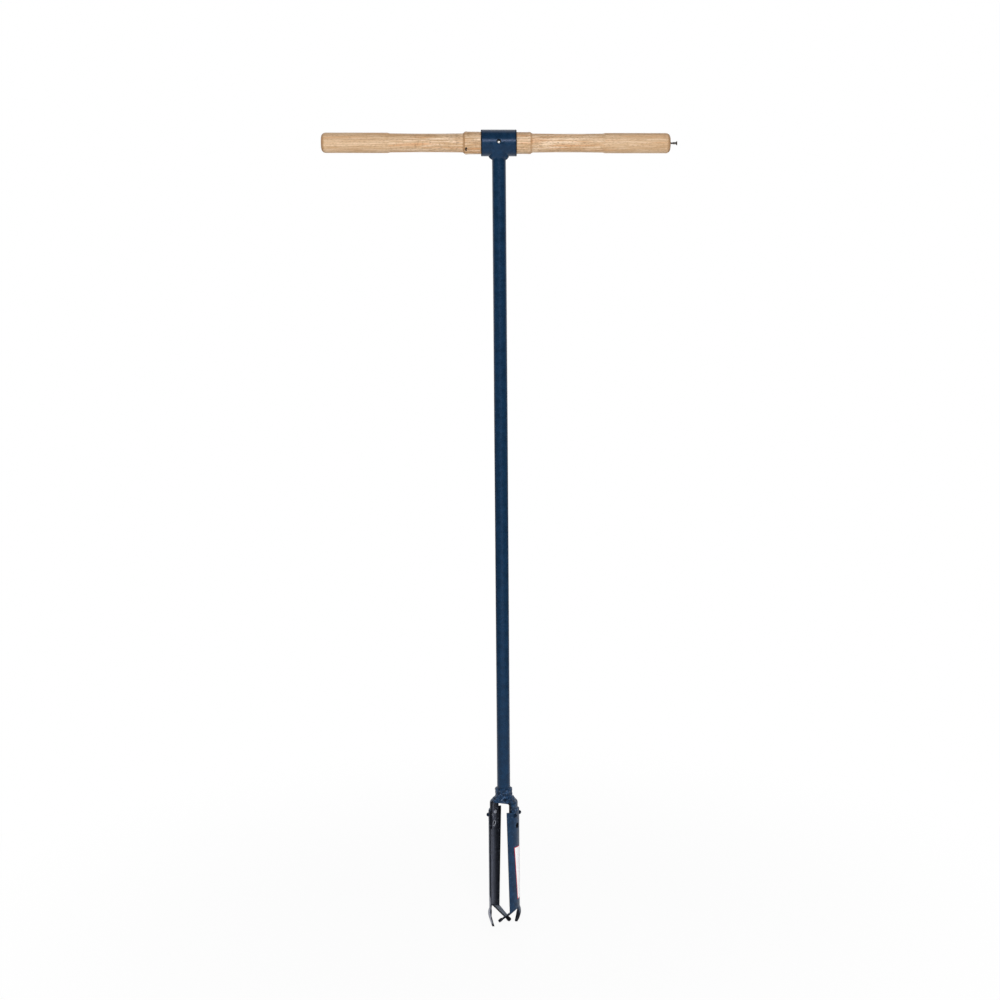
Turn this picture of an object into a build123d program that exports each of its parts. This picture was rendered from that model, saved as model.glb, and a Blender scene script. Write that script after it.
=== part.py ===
"""Hand earth auger: a wooden cross handle in a steel collar, a long tube and a two-blade digging head.

Sizes are in millimetres. +Z runs up the shaft and X runs along the cross handle. The origin is on
the shaft's axis, level with the tip of the lower prong.
"""

import math
import os

from build123d import *

# Cross handle, turned from one length of ash
handle_length = 558.8
handle_shift = -3.6  # the handle's middle, from the shaft's axis
grip_diameter = 32.0
grip_length = 104.0
grip_end_radius = 7.0
grip_step_length = 6.0
waist_diameter = 29.0
waist_end_diameter = 30.0
shoulder_length = 4.5
seat_left_length = 50.6  # from the handle's middle to the left shoulder
seat_right_length = 54.1
seat_left_diameter = 35.7
seat_right_diameter = 34.3
bead_length = 5.0  # rounded lip at each end of the seat
bead_rise = 0.35

# Wood screw kept in the right end of the handle
screw_length = 32.0
screw_proud = 11.2  # how far its head stands out of the wood
screw_shank_diameter = 3.6
screw_point_length = 7.0
screw_head_diameter = 6.8
screw_head_rim = 0.5
screw_slot_length = 4.8
screw_slot_width = 1.0
screw_slot_depth = 1.6
screw_clearance = 0.3

# Collar that holds the handle
collar_length = 57.0
collar_wall = 3.1
collar_rim = 0.8
handle_clearance = 0.33
lock_hole_diameter = 4.6
lock_hole_rise = 7.0  # degrees that its axis points up, in front
lock_hole_clearance = 0.2  # between the sunk screw head and its countersink

# Shaft
shaft_length = 1077.5
shaft_diameter = 22.2
shaft_wall = 2.0

# Sleeve round the foot of the shaft
sleeve_length = 20.5
sleeve_wall = 3.05
sleeve_clearance = 0.15
sleeve_rim = 0.8

# Welds
collar_weld_leg = 6.0
sleeve_weld_leg = 2.0
yoke_weld_leg = 5.5
yoke_weld_overhang = 1.6  # past the strap's edges, in front and behind
yoke_weld_sag = 2.4
blade_weld_height = 3.6
blade_weld_step = 0.3  # from the weld's toe to the blade's outer face
blade_weld_stop = 2.5  # degrees left bare at each edge of the arm
weld_hollow = 0.37  # depth of a weld's hollow face, as a share of its legs

# Yoke: one strap bent to an upside-down U
yoke_width = 28.5
yoke_thickness = 3.0
yoke_rise = 16.5  # its top, above the front blade's top
yoke_lap = 38.0  # how far its arms reach down inside the blades
yoke_bend_radius = 5.5
yoke_arm_corner = 11.0
yoke_seat_gap = 0.1

# Blades: curved walls, each with a cutting lip and a prong at its foot
head_turn = -22.0  # degrees from the handle to the front blade's centre line
blade_radius = 26.3
blade_thickness = 2.4
blade_wall_height = 173.0
blade_stagger = 3.5  # how much higher the front blade sits than the rear one
blade_leading_angle = 57.5  # degrees from the centre line to each long edge, at the top
blade_trailing_angle = 40.0
blade_leading_run = 4.2  # how far the leading edge leans in from top to foot
slit_angle = 8.5  # degrees from the centre line to the slit between lip and prong
slit_width = 2.0

# Prong
prong_length = 33.5
prong_flare = 1.4
prong_flare_drop = 6.0  # below the foot of the wall
prong_lean = 0.3  # inward lean of the tip, as a slope
prong_tip_radius = 20.6
prong_tip_thickness = 3.0
prong_tip_angle = 38.0
prong_tip_width = 5.6
prong_leading_spread = 1.6  # how far its edges spread past its root, where it is widest
prong_trailing_spread = 5.0
prong_spread_drop = 13.0  # where it is widest, below the foot of the wall
prong_leading_sweep = 0.7  # how far its edges lean to the tip at their ends, as a slope
prong_trailing_sweep = 0.3

# Cutting lip
lip_fold_drop = 4.0  # the fold, below the foot of the wall
lip_reach = 29.3
lip_slope = 39.5  # degrees below level
lip_twist = 7.0  # degrees that its cutting edge is turned down
lip_pass = 9.3  # from the shaft's axis to the lip's centre line
lip_tip_width = 8.0
lip_tip_thickness = 4.8  # its tip is upset to a thick round button
lip_fold_radius = 3.0  # outside the fold

# Rivets
rivet_spread = 22.0  # degrees each side of the blade's centre line
rivet_drop = 7.0
rivet_shank_diameter = 5.0
rivet_head_diameter = 7.0
rivet_head_height = 3.4
rivet_tail_diameter = 7.0
rivet_tail_height = 2.2
rivet_clearance = 0.1
flush_rivet_drop = 26.0
flush_rivet_turn = 8.0  # degrees on the leading side of the blade's centre line
flush_head_diameter = 9.6
flush_head_angle = 90.0
flush_head_sink = 0.8
flush_end_diameter = 10.6
flush_end_height = 1.6
flush_end_mouth = 6.4  # its end is flared to a ring round this opening
flush_end_bore = 3.6
flush_end_depth = 2.6

# Label on the front blade
label_height = 94.8
label_width = 17.5
label_lift = 15.2  # its lower edge, above the foot of the blade's wall
label_thickness = 0.2
label_gap = 0.1  # film of paste under it
label_start = 28.0  # degrees on the leading side of the centre line, at its top
label_lean = 8.0  # how far its foot leans to the trailing side


def seat_diameter_at(distance):
    """Diameter of the tapered seat at a distance from the handle's middle."""
    share = (distance + seat_left_length) / (seat_left_length + seat_right_length)
    return seat_left_diameter + share * (seat_right_diameter - seat_left_diameter)


# Heights and radii that follow from the sizes above; those of the blades are the rear blade's
wall_foot = prong_length
blade_top = wall_foot + blade_wall_height
yoke_top = blade_top + blade_stagger + yoke_rise
arm_foot = blade_top + blade_stagger - yoke_lap
sleeve_top = yoke_top + sleeve_length
shaft_radius = shaft_diameter / 2
sleeve_bore = shaft_diameter + 2 * sleeve_clearance
sleeve_radius = sleeve_bore / 2 + sleeve_wall
collar_bore = seat_diameter_at(-collar_length / 2 - handle_shift) + 2 * handle_clearance
collar_radius = collar_bore / 2 + collar_wall
collar_height = yoke_top + shaft_length + collar_radius
blade_bore_radius = blade_radius - blade_thickness
blade_middle_radius = blade_radius - blade_thickness / 2
arm_radius = blade_bore_radius - yoke_seat_gap
arm_bore_radius = arm_radius - yoke_thickness
front_facing = head_turn
rear_facing = head_turn + 180
blade_places = (("front", front_facing, blade_stagger), ("rear", rear_facing, 0.0))


def level_plane(height, facing=0.0):
    """Level plane at a height, with its x axis turned to a facing in degrees."""
    turn = math.radians(facing)
    return Plane(origin=(0, 0, height), x_dir=(math.cos(turn), math.sin(turn), 0), z_dir=(0, 0, 1))


def radial_plane(facing):
    """Upright plane through the shaft's axis: its x axis points outwards and its y axis up."""
    turn = math.radians(facing)
    outwards = (math.cos(turn), math.sin(turn), 0)
    return Plane(origin=(0, 0, 0), x_dir=outwards, z_dir=(math.sin(turn), -math.cos(turn), 0))


def facing_plane(radius, height, facing):
    """Upright plane at a radius that looks outwards: its x axis runs round the head, its y axis up."""
    turn = math.radians(facing)
    outwards = (math.cos(turn), math.sin(turn), 0)
    origin = (radius * outwards[0], radius * outwards[1], height)
    return Plane(origin=origin, x_dir=(-outwards[1], outwards[0], 0), z_dir=outwards)


def leaning_plane(facing, lean, height):
    """Upright plane through the axis at a facing, tipped so that it crosses the axis at a height."""
    turn = math.radians(facing)
    outwards = (math.cos(turn), math.sin(turn), 0)
    return Plane(origin=(0, 0, height), x_dir=outwards, z_dir=(-outwards[1], outwards[0], lean))


def sector(inner_radius, outer_radius, start, end):
    """Draw a slice of a ring between two angles in degrees, on the sketch that is open."""
    with BuildLine() as outline:
        outer = CenterArc((0, 0), outer_radius, start, end - start)
        inner = CenterArc((0, 0), inner_radius, start, end - start)
        Line(outer @ 0, inner @ 0)
        Line(outer @ 1, inner @ 1)
    make_face(outline.edges())


handle_plane = Plane(origin=(handle_shift, 0, collar_height), x_dir=(1, 0, 0), z_dir=(0, -1, 0))
handle_axis = Axis((handle_shift, 0, collar_height), (1, 0, 0))
handle_end_plane = Plane(
    origin=(handle_shift + handle_length / 2, 0, collar_height), x_dir=(0, 1, 0), z_dir=(1, 0, 0)
)
collar_plane = Plane(origin=(-collar_length / 2, 0, collar_height), x_dir=(0, 1, 0), z_dir=(1, 0, 0))

# Cross handle
with BuildPart() as cross_handle:
    with BuildSketch(handle_plane):
        with BuildLine():
            half_length = handle_length / 2
            grip_radius = grip_diameter / 2
            waist_radius = waist_diameter / 2
            waist_end_radius = waist_end_diameter / 2
            seat_ends = []
            for side, seat_length, seat_diameter in (
                (-1, seat_left_length, seat_left_diameter),
                (1, seat_right_length, seat_right_diameter),
            ):
                round_start = side * (half_length - grip_end_radius)
                grip_foot = side * (half_length - grip_length)
                waist_outer = grip_foot - side * grip_step_length
                waist_inner = side * (seat_length + shoulder_length)
                bead_crest = side * (seat_length - bead_length / 3)
                seat_end = side * (seat_length - bead_length)
                seat_radius = seat_diameter / 2
                inwards = (-side, 0)
                Line((side * half_length, 0), (side * half_length, grip_radius - grip_end_radius))
                CenterArc(
                    (round_start, grip_radius - grip_end_radius),
                    grip_end_radius,
                    90,
                    -90 * side,
                )
                Line((round_start, grip_radius), (grip_foot, grip_radius))
                Spline(
                    (grip_foot, grip_radius),
                    (waist_outer, waist_end_radius),
                    tangents=(inwards, inwards),
                )
                ThreePointArc(
                    (waist_outer, waist_end_radius),
                    ((waist_outer + waist_inner) / 2, waist_radius),
                    (waist_inner, waist_end_radius),
                )
                Spline(
                    (waist_inner, waist_end_radius),
                    (bead_crest, seat_radius + bead_rise),
                    tangents=(inwards, inwards),
                )
                Spline(
                    (bead_crest, seat_radius + bead_rise),
                    (seat_end, seat_radius),
                    tangents=(inwards, inwards),
                )
                seat_ends.append((seat_end, seat_radius))
            Line(seat_ends[0], seat_ends[1])
            Line((-half_length, 0), (half_length, 0))
        make_face()
    revolve(axis=handle_axis)
    # Pilot hole of the stored screw
    with BuildSketch(handle_end_plane):
        Circle(screw_shank_diameter / 2 + screw_clearance)
    extrude(amount=-(screw_length - screw_proud + screw_clearance), mode=Mode.SUBTRACT)

# Screw: point, shank and countersunk head with a cross slot
screw_head_height = (screw_head_diameter - screw_shank_diameter) / 2
screw_outer_end = handle_length / 2 + screw_proud
with BuildPart() as handle_screw:
    with BuildSketch(handle_plane):
        with BuildLine():
            Polyline(
                (screw_outer_end - screw_length, 0),
                (screw_outer_end - screw_length + screw_point_length, screw_shank_diameter / 2),
                (screw_outer_end - screw_head_rim - screw_head_height, screw_shank_diameter / 2),
                (screw_outer_end - screw_head_rim, screw_head_diameter / 2),
                (screw_outer_end, screw_head_diameter / 2),
                (screw_outer_end, 0),
                close=True,
            )
        make_face()
    revolve(axis=handle_axis)
    with BuildSketch(handle_end_plane.offset(screw_proud)):
        for turn in (0, 90):
            Rectangle(screw_slot_length, screw_slot_width, rotation=turn)
    extrude(amount=-screw_slot_depth, mode=Mode.SUBTRACT)

# Collar
with BuildPart() as handle_collar:
    with BuildSketch(collar_plane):
        Circle(collar_radius)
        Circle(collar_bore / 2, mode=Mode.SUBTRACT)
    extrude(amount=collar_length)
    rims = handle_collar.edges().filter_by(GeomType.CIRCLE)
    chamfer(rims, length=min(collar_rim, collar_wall / 3))
    lock_hole_out = -math.cos(math.radians(lock_hole_rise))
    lock_hole_up = math.sin(math.radians(lock_hole_rise))
    lock_hole_plane = Plane(
        origin=(0, lock_hole_out * collar_radius, collar_height + lock_hole_up * collar_radius),
        x_dir=(1, 0, 0),
        z_dir=(0, lock_hole_out, lock_hole_up),
    )
    with Locations(lock_hole_plane):
        CounterSinkHole(
            radius=lock_hole_diameter / 2,
            counter_sink_radius=screw_head_diameter / 2 + lock_hole_clearance,
            depth=2 * collar_wall,
            counter_sink_angle=90,
        )

# Shaft, its top coped to the collar
with BuildPart() as shaft_tube:
    with BuildSketch(level_plane(yoke_top)):
        Circle(shaft_radius)
        Circle(shaft_radius - shaft_wall, mode=Mode.SUBTRACT)
    extrude(amount=collar_height - yoke_top)
    with BuildSketch(collar_plane):
        Circle(collar_radius)
    extrude(amount=collar_length, mode=Mode.SUBTRACT)

# Weld between collar and shaft: the fillet that is left when both bars are taken away
stub_length = 2 * collar_radius + collar_weld_leg
with BuildPart() as collar_weld:
    with BuildSketch(collar_plane):
        Circle(collar_radius)
    extrude(amount=collar_length)
    with BuildSketch(level_plane(collar_height - stub_length)):
        Circle(shaft_radius)
    extrude(amount=stub_length)
    joint_edges = [
        edge
        for edge in collar_weld.edges()
        if edge.geom_type not in (GeomType.CIRCLE, GeomType.LINE)
    ]
    fillet(joint_edges, radius=collar_weld_leg)
    with BuildSketch(collar_plane):
        Circle(collar_radius)
    extrude(amount=collar_length, mode=Mode.SUBTRACT)
    with BuildSketch(level_plane(collar_height - stub_length)):
        Circle(shaft_radius)
    extrude(amount=stub_length, mode=Mode.SUBTRACT)

# Sleeve
with BuildPart() as socket_sleeve:
    with BuildSketch(level_plane(yoke_top)):
        Circle(sleeve_radius)
        Circle(sleeve_bore / 2, mode=Mode.SUBTRACT)
    extrude(amount=sleeve_length)
    top_rim = socket_sleeve.faces().sort_by(Axis.Z)[-1].outer_wire().edges()
    fillet(top_rim, radius=min(sleeve_rim, sleeve_wall / 3))


def weld_section(radius, height, leg_out, leg_up):
    """Draw the section of a fillet weld on a radial plane: a leg out, a leg up and a hollow face."""
    with BuildLine() as outline:
        Line((radius, height), (radius + leg_out, height))
        Line((radius, height), (radius, height + leg_up))
        ThreePointArc(
            (radius + leg_out, height),
            (radius + weld_hollow * leg_out, height + weld_hollow * leg_up),
            (radius, height + leg_up),
        )
    make_face(outline.edges())


def make_blade_weld(facing):
    """Fillet weld along the top of a blade, over the yoke's arm."""
    half_turn = math.degrees(math.asin(yoke_width / 2 / arm_radius)) - blade_weld_stop
    with BuildPart() as bead:
        with BuildSketch(radial_plane(facing - half_turn)):
            leg_out = blade_radius - blade_weld_step - arm_radius
            weld_section(arm_radius, blade_top, leg_out, blade_weld_height)
        revolve(axis=Axis.Z, revolution_arc=2 * half_turn)
    return bead.part


with BuildPart() as sleeve_weld:
    with BuildSketch(radial_plane(front_facing)):
        weld_section(shaft_radius, sleeve_top, sleeve_weld_leg, sleeve_weld_leg)
    revolve(axis=Axis.Z)

with BuildPart() as yoke_weld:
    with BuildSketch(radial_plane(front_facing)):
        weld_section(sleeve_radius, yoke_top, yoke_weld_leg, yoke_weld_leg)
    revolve(axis=Axis.Z)
    with BuildSketch(level_plane(yoke_top - yoke_weld_sag)):
        Circle(sleeve_radius + yoke_weld_leg)
    extrude(amount=yoke_weld_sag)
    with BuildSketch(level_plane(yoke_top - yoke_weld_sag, front_facing)):
        Rectangle(4 * arm_radius, yoke_width + 2 * yoke_weld_overhang)
    extrude(amount=yoke_weld_sag + yoke_weld_leg, mode=Mode.INTERSECT)
    with BuildSketch(level_plane(yoke_top - yoke_weld_sag, front_facing)):
        Rectangle(4 * arm_radius, yoke_width)
    extrude(amount=yoke_weld_sag, mode=Mode.SUBTRACT)

# Space between the yoke's arms
with BuildPart() as yoke_space:
    with BuildSketch(level_plane(arm_foot, front_facing)):
        Circle(arm_bore_radius)
    extrude(amount=yoke_top - yoke_thickness - arm_foot)
    space_rim = yoke_space.faces().sort_by(Axis.Z)[-1].edges()
    fillet(space_rim, radius=yoke_bend_radius - yoke_thickness)

# Yoke
with BuildPart() as yoke:
    with BuildSketch(level_plane(arm_foot, front_facing)):
        Circle(arm_radius)
    extrude(amount=yoke_top - arm_foot)
    yoke_rim = yoke.faces().sort_by(Axis.Z)[-1].edges()
    fillet(yoke_rim, radius=yoke_bend_radius)
    add(yoke_space.part, mode=Mode.SUBTRACT)
    with BuildSketch(facing_plane(0, arm_foot, front_facing)) as strap_outline:
        with Locations((0, (yoke_top - arm_foot) / 2)):
            Rectangle(yoke_width, yoke_top - arm_foot)
        arm_corners = strap_outline.vertices().group_by(Axis.Y)[0]
        fillet(arm_corners, radius=min(yoke_arm_corner, 0.45 * yoke_width))
    extrude(amount=2 * blade_radius, both=True, mode=Mode.INTERSECT)
    for side, facing, lift in blade_places:
        for turn in (-rivet_spread, rivet_spread):
            with Locations(facing_plane(blade_radius, blade_top + lift - rivet_drop, facing + turn)):
                Hole(rivet_shank_diameter / 2 + rivet_clearance, depth=blade_radius / 2)
        flush_height = blade_top + lift - flush_rivet_drop
        with Locations(facing_plane(blade_radius, flush_height, facing - flush_rivet_turn)):
            Hole(rivet_shank_diameter / 2 + rivet_clearance, depth=blade_radius / 2)


def leading_edge_angle(height):
    """Angle in degrees of the blade's leading edge at a height, measured from the centre line."""
    run = blade_leading_run * (blade_top - height) / blade_wall_height
    return -blade_leading_angle + math.degrees(math.asin(run / blade_radius))


def leading_plane(facing):
    """Plane along which a blade's leading edge is cut, down its wall and its lip."""
    return leaning_plane(facing - blade_leading_angle, blade_leading_run / blade_wall_height, blade_top)


def make_wall(facing):
    """Curved wall of a blade, narrower at the foot than at the top."""
    with BuildPart() as wall:
        with BuildSketch(level_plane(wall_foot, facing)):
            sector(blade_bore_radius, blade_radius, -blade_leading_angle, blade_trailing_angle)
        extrude(amount=blade_wall_height)
        split(bisect_by=leading_plane(facing), keep=Keep.TOP)
    return wall.part


def make_lip(facing):
    """Cutting lip: the leading part of the wall, folded inwards to a tongue with a thick round tip."""
    start = leading_edge_angle(wall_foot)
    end = -slit_angle - math.degrees(slit_width / 2 / blade_radius)
    root = (start + end) / 2
    heading = root + 180 + math.degrees(math.asin(lip_pass / blade_middle_radius))
    slope = math.radians(lip_slope)
    base = level_plane(0, facing)
    root_turn = math.radians(root)
    fold_height = wall_foot - lip_fold_drop
    origin = base.from_local_coords(
        Vector(
            blade_middle_radius * math.cos(root_turn),
            blade_middle_radius * math.sin(root_turn),
            fold_height,
        )
    )
    heading_turn = math.radians(facing + heading)
    level_x = math.cos(heading_turn)
    level_y = math.sin(heading_turn)
    twist = math.radians(lip_twist)
    flat_normal = Vector(level_x * math.sin(slope), level_y * math.sin(slope), math.cos(slope))
    leading_side = Vector(-level_y, level_x, 0)
    tongue_plane = Plane(
        origin=origin,
        x_dir=(level_x * math.cos(slope), level_y * math.cos(slope), -math.sin(slope)),
        z_dir=flat_normal * math.cos(twist) + leading_side * math.sin(twist),
    )

    def on_tongue(angle):
        """Place on the tongue's plane, straight below or above the wall's middle at an angle."""
        turn = math.radians(angle - root)
        across = math.radians(heading - root)
        step_out = blade_middle_radius * (math.cos(turn) - 1)
        step_round = blade_middle_radius * math.sin(turn)
        along = step_out * math.cos(across) + step_round * math.sin(across)
        aside = (-step_out * math.sin(across) + step_round * math.cos(across)) / math.cos(twist)
        return (along + aside * math.sin(twist) * math.sin(slope)) / math.cos(slope), aside

    tip_radius = lip_tip_width / 2
    reach = lip_reach / math.cos(slope)
    with BuildPart() as lip:
        with BuildSketch(level_plane(fold_height - lip_reach / 2, facing)):
            sector(blade_bore_radius, blade_radius, -blade_leading_angle, end)
        extrude(amount=wall_foot - fold_height + lip_reach / 2)
        split(bisect_by=leading_plane(facing), keep=Keep.TOP)
        split(bisect_by=tongue_plane.offset(-blade_thickness / 2), keep=Keep.TOP)
        with BuildSketch(tongue_plane):
            with BuildLine():
                leading_root = on_tongue(start)
                trailing_root = on_tongue(end)
                behind = -2 * blade_thickness
                Line((reach - tip_radius, tip_radius), leading_root)
                Line(leading_root, (leading_root[0] + behind, leading_root[1]))
                Line((leading_root[0] + behind, leading_root[1]), (trailing_root[0] + behind, trailing_root[1]))
                Line((trailing_root[0] + behind, trailing_root[1]), trailing_root)
                Line(trailing_root, (reach - tip_radius, -tip_radius))
                ThreePointArc(
                    (reach - tip_radius, -tip_radius),
                    (reach, 0),
                    (reach - tip_radius, tip_radius),
                )
            make_face()
        extrude(amount=blade_thickness / 2, both=True)
        with BuildSketch(tongue_plane):
            with Locations((reach - tip_radius, 0)):
                Circle(tip_radius)
        extrude(amount=lip_tip_thickness / 2, both=True)
        tip_rims = [
            edge
            for edge in lip.edges().filter_by(GeomType.CIRCLE)
            if abs(abs(tongue_plane.to_local_coords(edge.arc_center).Z) - lip_tip_thickness / 2) < 0.01
        ]
        fillet(tip_rims, radius=0.45 * (lip_tip_thickness - blade_thickness))
        with BuildSketch(level_plane(0, facing)):
            Circle(blade_radius)
        extrude(amount=blade_top, mode=Mode.INTERSECT)
        outer_edges = [
            edge
            for edge in lip.edges().filter_by(GeomType.ELLIPSE)
            if math.hypot(edge.center().X, edge.center().Y) > blade_middle_radius
        ]
        fillet(max(outer_edges, key=lambda edge: edge.length), radius=lip_fold_radius)
    return lip.part


def make_prong(facing):
    """Prong: the trailing part of the wall, forged to a leaf, set outwards a little and drawn in to a point."""
    start = -slit_angle + math.degrees(slit_width / 2 / blade_radius)
    middle = (start + blade_trailing_angle) / 2
    root_half = blade_middle_radius * math.sin(math.radians(blade_trailing_angle - middle))
    leading_width = root_half + prong_leading_spread
    trailing_width = root_half + prong_trailing_spread
    leading_turn = math.degrees(math.asin(leading_width / blade_bore_radius))
    trailing_turn = math.degrees(math.asin(trailing_width / blade_bore_radius))
    flare_height = wall_foot - prong_flare_drop
    inner_tip = prong_tip_radius - prong_tip_thickness / 2
    outer_tip = prong_tip_radius + prong_tip_thickness / 2
    with BuildPart() as prong:
        with BuildSketch(radial_plane(facing + middle - leading_turn)):
            with BuildLine():
                outer = Spline(
                    (blade_radius, wall_foot),
                    (blade_radius + prong_flare, flare_height),
                    (outer_tip, 0),
                    tangents=((0, -1), (-prong_lean, -1)),
                )
                inner = Spline(
                    (blade_bore_radius, wall_foot),
                    (blade_bore_radius + prong_flare, flare_height),
                    (inner_tip, 0),
                    tangents=((0, -1), (-prong_lean, -1)),
                )
                Line(outer @ 0, inner @ 0)
                Line(outer @ 1, inner @ 1)
            make_face()
        revolve(axis=Axis.Z, revolution_arc=leading_turn + trailing_turn)
        with BuildSketch(facing_plane(0, 0, facing + middle)):
            with BuildLine():
                spread_height = wall_foot - prong_spread_drop
                tip = prong_tip_radius * math.sin(math.radians(prong_tip_angle - middle))
                tip_half = prong_tip_width / 2
                leading = Spline(
                    (-root_half, wall_foot),
                    (-leading_width, spread_height),
                    (tip - tip_half, tip_half),
                    tangents=((0, -1), (prong_leading_sweep, -1)),
                )
                trailing = Spline(
                    (root_half, wall_foot),
                    (trailing_width, spread_height),
                    (tip + tip_half, tip_half),
                    tangents=((0, -1), (-prong_trailing_sweep, -1)),
                )
                ThreePointArc(leading @ 1, (tip, 0), trailing @ 1)
                Line(trailing @ 0, leading @ 0)
            make_face()
        extrude(amount=2 * blade_radius, mode=Mode.INTERSECT)
    return prong.part


def make_blade(facing):
    """One blade: wall, cutting lip and prong in one sheet, drilled for its rivets."""
    with BuildPart() as blade:
        add(make_wall(facing))
        add(make_lip(facing))
        add(make_prong(facing))
        for turn in (-rivet_spread, rivet_spread):
            with Locations(facing_plane(blade_radius, blade_top - rivet_drop, facing + turn)):
                Hole(rivet_shank_diameter / 2 + rivet_clearance, depth=2 * blade_thickness)
        with Locations(facing_plane(blade_radius, blade_top - flush_rivet_drop, facing - flush_rivet_turn)):
            CounterSinkHole(
                radius=rivet_shank_diameter / 2 + rivet_clearance,
                counter_sink_radius=flush_head_diameter / 2 + rivet_clearance,
                depth=2 * blade_thickness,
                counter_sink_angle=flush_head_angle,
            )
    return blade.part


def dome_middle(radius, height):
    """Point half way along the outline of a dome: its height above the rim and its distance from the axis."""
    ball_radius = (radius**2 + height**2) / (2 * height)
    half_turn = math.atan2(radius, ball_radius - height) / 2
    return height - ball_radius + ball_radius * math.cos(half_turn), ball_radius * math.sin(half_turn)


def make_round_rivet(facing):
    """Round-head rivet: a dome outside the blade, a shank and a smaller dome inside the yoke's arm."""
    head_radius = rivet_head_diameter / 2
    tail_radius = rivet_tail_diameter / 2
    shank_radius = rivet_shank_diameter / 2
    tail_seat = math.sqrt(arm_bore_radius**2 - tail_radius**2)
    head_middle = dome_middle(head_radius, rivet_head_height)
    tail_middle = dome_middle(tail_radius, rivet_tail_height)
    height = blade_top - rivet_drop
    axis_plane = radial_plane(facing)
    rivet_axis = Axis((0, 0, height), axis_plane.x_dir)
    with BuildPart() as rivet:
        with BuildSketch(axis_plane):
            with BuildLine():
                Line((tail_seat - rivet_tail_height, height), (blade_radius + rivet_head_height, height))
                ThreePointArc(
                    (blade_radius + rivet_head_height, height),
                    (blade_radius + head_middle[0], height + head_middle[1]),
                    (blade_radius, height + head_radius),
                )
                Polyline(
                    (blade_radius, height + head_radius),
                    (blade_radius, height + shank_radius),
                    (tail_seat, height + shank_radius),
                    (tail_seat, height + tail_radius),
                )
                ThreePointArc(
                    (tail_seat, height + tail_radius),
                    (tail_seat - tail_middle[0], height + tail_middle[1]),
                    (tail_seat - rivet_tail_height, height),
                )
            make_face()
        revolve(axis=rivet_axis)
    return rivet.part


def make_flush_rivet(facing):
    """Countersunk rivet: a flat head sunk in the blade and a hollow flared end inside the yoke's arm."""
    head_radius = flush_head_diameter / 2
    shank_radius = rivet_shank_diameter / 2
    end_radius = flush_end_diameter / 2
    end_seat = math.sqrt(arm_bore_radius**2 - end_radius**2)
    head_outer = blade_radius - flush_head_sink
    head_depth = (head_radius - shank_radius) / math.tan(math.radians(flush_head_angle / 2))
    head_foot = blade_radius - head_depth
    head_rim = head_radius - flush_head_sink * math.tan(math.radians(flush_head_angle / 2))
    height = blade_top - flush_rivet_drop
    axis_plane = radial_plane(facing)
    rivet_axis = Axis((0, 0, height), axis_plane.x_dir)
    bore_radius = flush_end_bore / 2
    mouth_radius = flush_end_mouth / 2
    inner_end = end_seat - flush_end_height
    with BuildPart() as rivet:
        with BuildSketch(axis_plane):
            with BuildLine():
                Polyline(
                    (inner_end + flush_end_depth, height),
                    (head_outer, height),
                    (head_outer, height + head_rim),
                    (head_foot, height + shank_radius),
                    (end_seat, height + shank_radius),
                    (end_seat, height + end_radius),
                )
                ThreePointArc(
                    (end_seat, height + end_radius),
                    (inner_end, height + (end_radius + mouth_radius) / 2),
                    (end_seat - flush_end_height / 2, height + mouth_radius),
                )
                Polyline(
                    (end_seat - flush_end_height / 2, height + mouth_radius),
                    (end_seat, height + bore_radius),
                    (inner_end + flush_end_depth, height + bore_radius),
                    (inner_end + flush_end_depth, height),
                )
            make_face()
        revolve(axis=rivet_axis)
    return rivet.part


# Label, a thin skin on the front blade
label_foot = wall_foot + blade_stagger + label_lift
with BuildPart() as blade_label:
    label_turn = math.degrees(label_width / blade_radius)
    label_run = math.degrees(label_lean / blade_radius)
    label_bore = blade_radius + label_gap
    with BuildSketch(level_plane(label_foot, front_facing)):
        sector(label_bore, label_bore + label_thickness, -label_start, label_turn + label_run - label_start)
    extrude(amount=label_height)
    label_top = label_foot + label_height
    near_edge = leaning_plane(front_facing - label_start, label_lean / label_height, label_top)
    split(bisect_by=near_edge, keep=Keep.TOP)
    far_edge = leaning_plane(front_facing - label_start + label_turn, label_lean / label_height, label_top)
    split(bisect_by=far_edge, keep=Keep.BOTTOM)

pieces = {
    "cross_handle": cross_handle.part,
    "handle_screw": handle_screw.part,
    "handle_collar": handle_collar.part,
    "collar_weld": collar_weld.part,
    "shaft_tube": shaft_tube.part,
    "socket_sleeve": socket_sleeve.part,
    "sleeve_weld": sleeve_weld.part,
    "yoke": yoke.part,
    "yoke_weld": yoke_weld.part,
    "blade_label": blade_label.part,
}
for side, facing, lift in blade_places:
    place = Location((0, 0, lift))
    pieces[f"blade_{side}"] = make_blade(facing).moved(place)
    pieces[f"{side}_rivet_leading"] = make_round_rivet(facing - rivet_spread).moved(place)
    pieces[f"{side}_rivet_trailing"] = make_round_rivet(facing + rivet_spread).moved(place)
    pieces[f"{side}_rivet_flush"] = make_flush_rivet(facing - flush_rivet_turn).moved(place)
    pieces[f"{side}_blade_weld"] = make_blade_weld(facing).moved(place)

os.makedirs("parts", exist_ok=True)
for name, piece in pieces.items():
    piece.label = name
    export_step(piece, f"parts/{name}.step")
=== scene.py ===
"""Studio scene of a hand earth auger.

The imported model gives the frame. This script adds what the solids leave plain: lumpy weld beads, the
thread and recess of the stored screw, the paper label, and a finish for every surface.
"""

from __future__ import annotations

import logging
import math
from collections.abc import Callable
from dataclasses import dataclass
from enum import Enum

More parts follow.
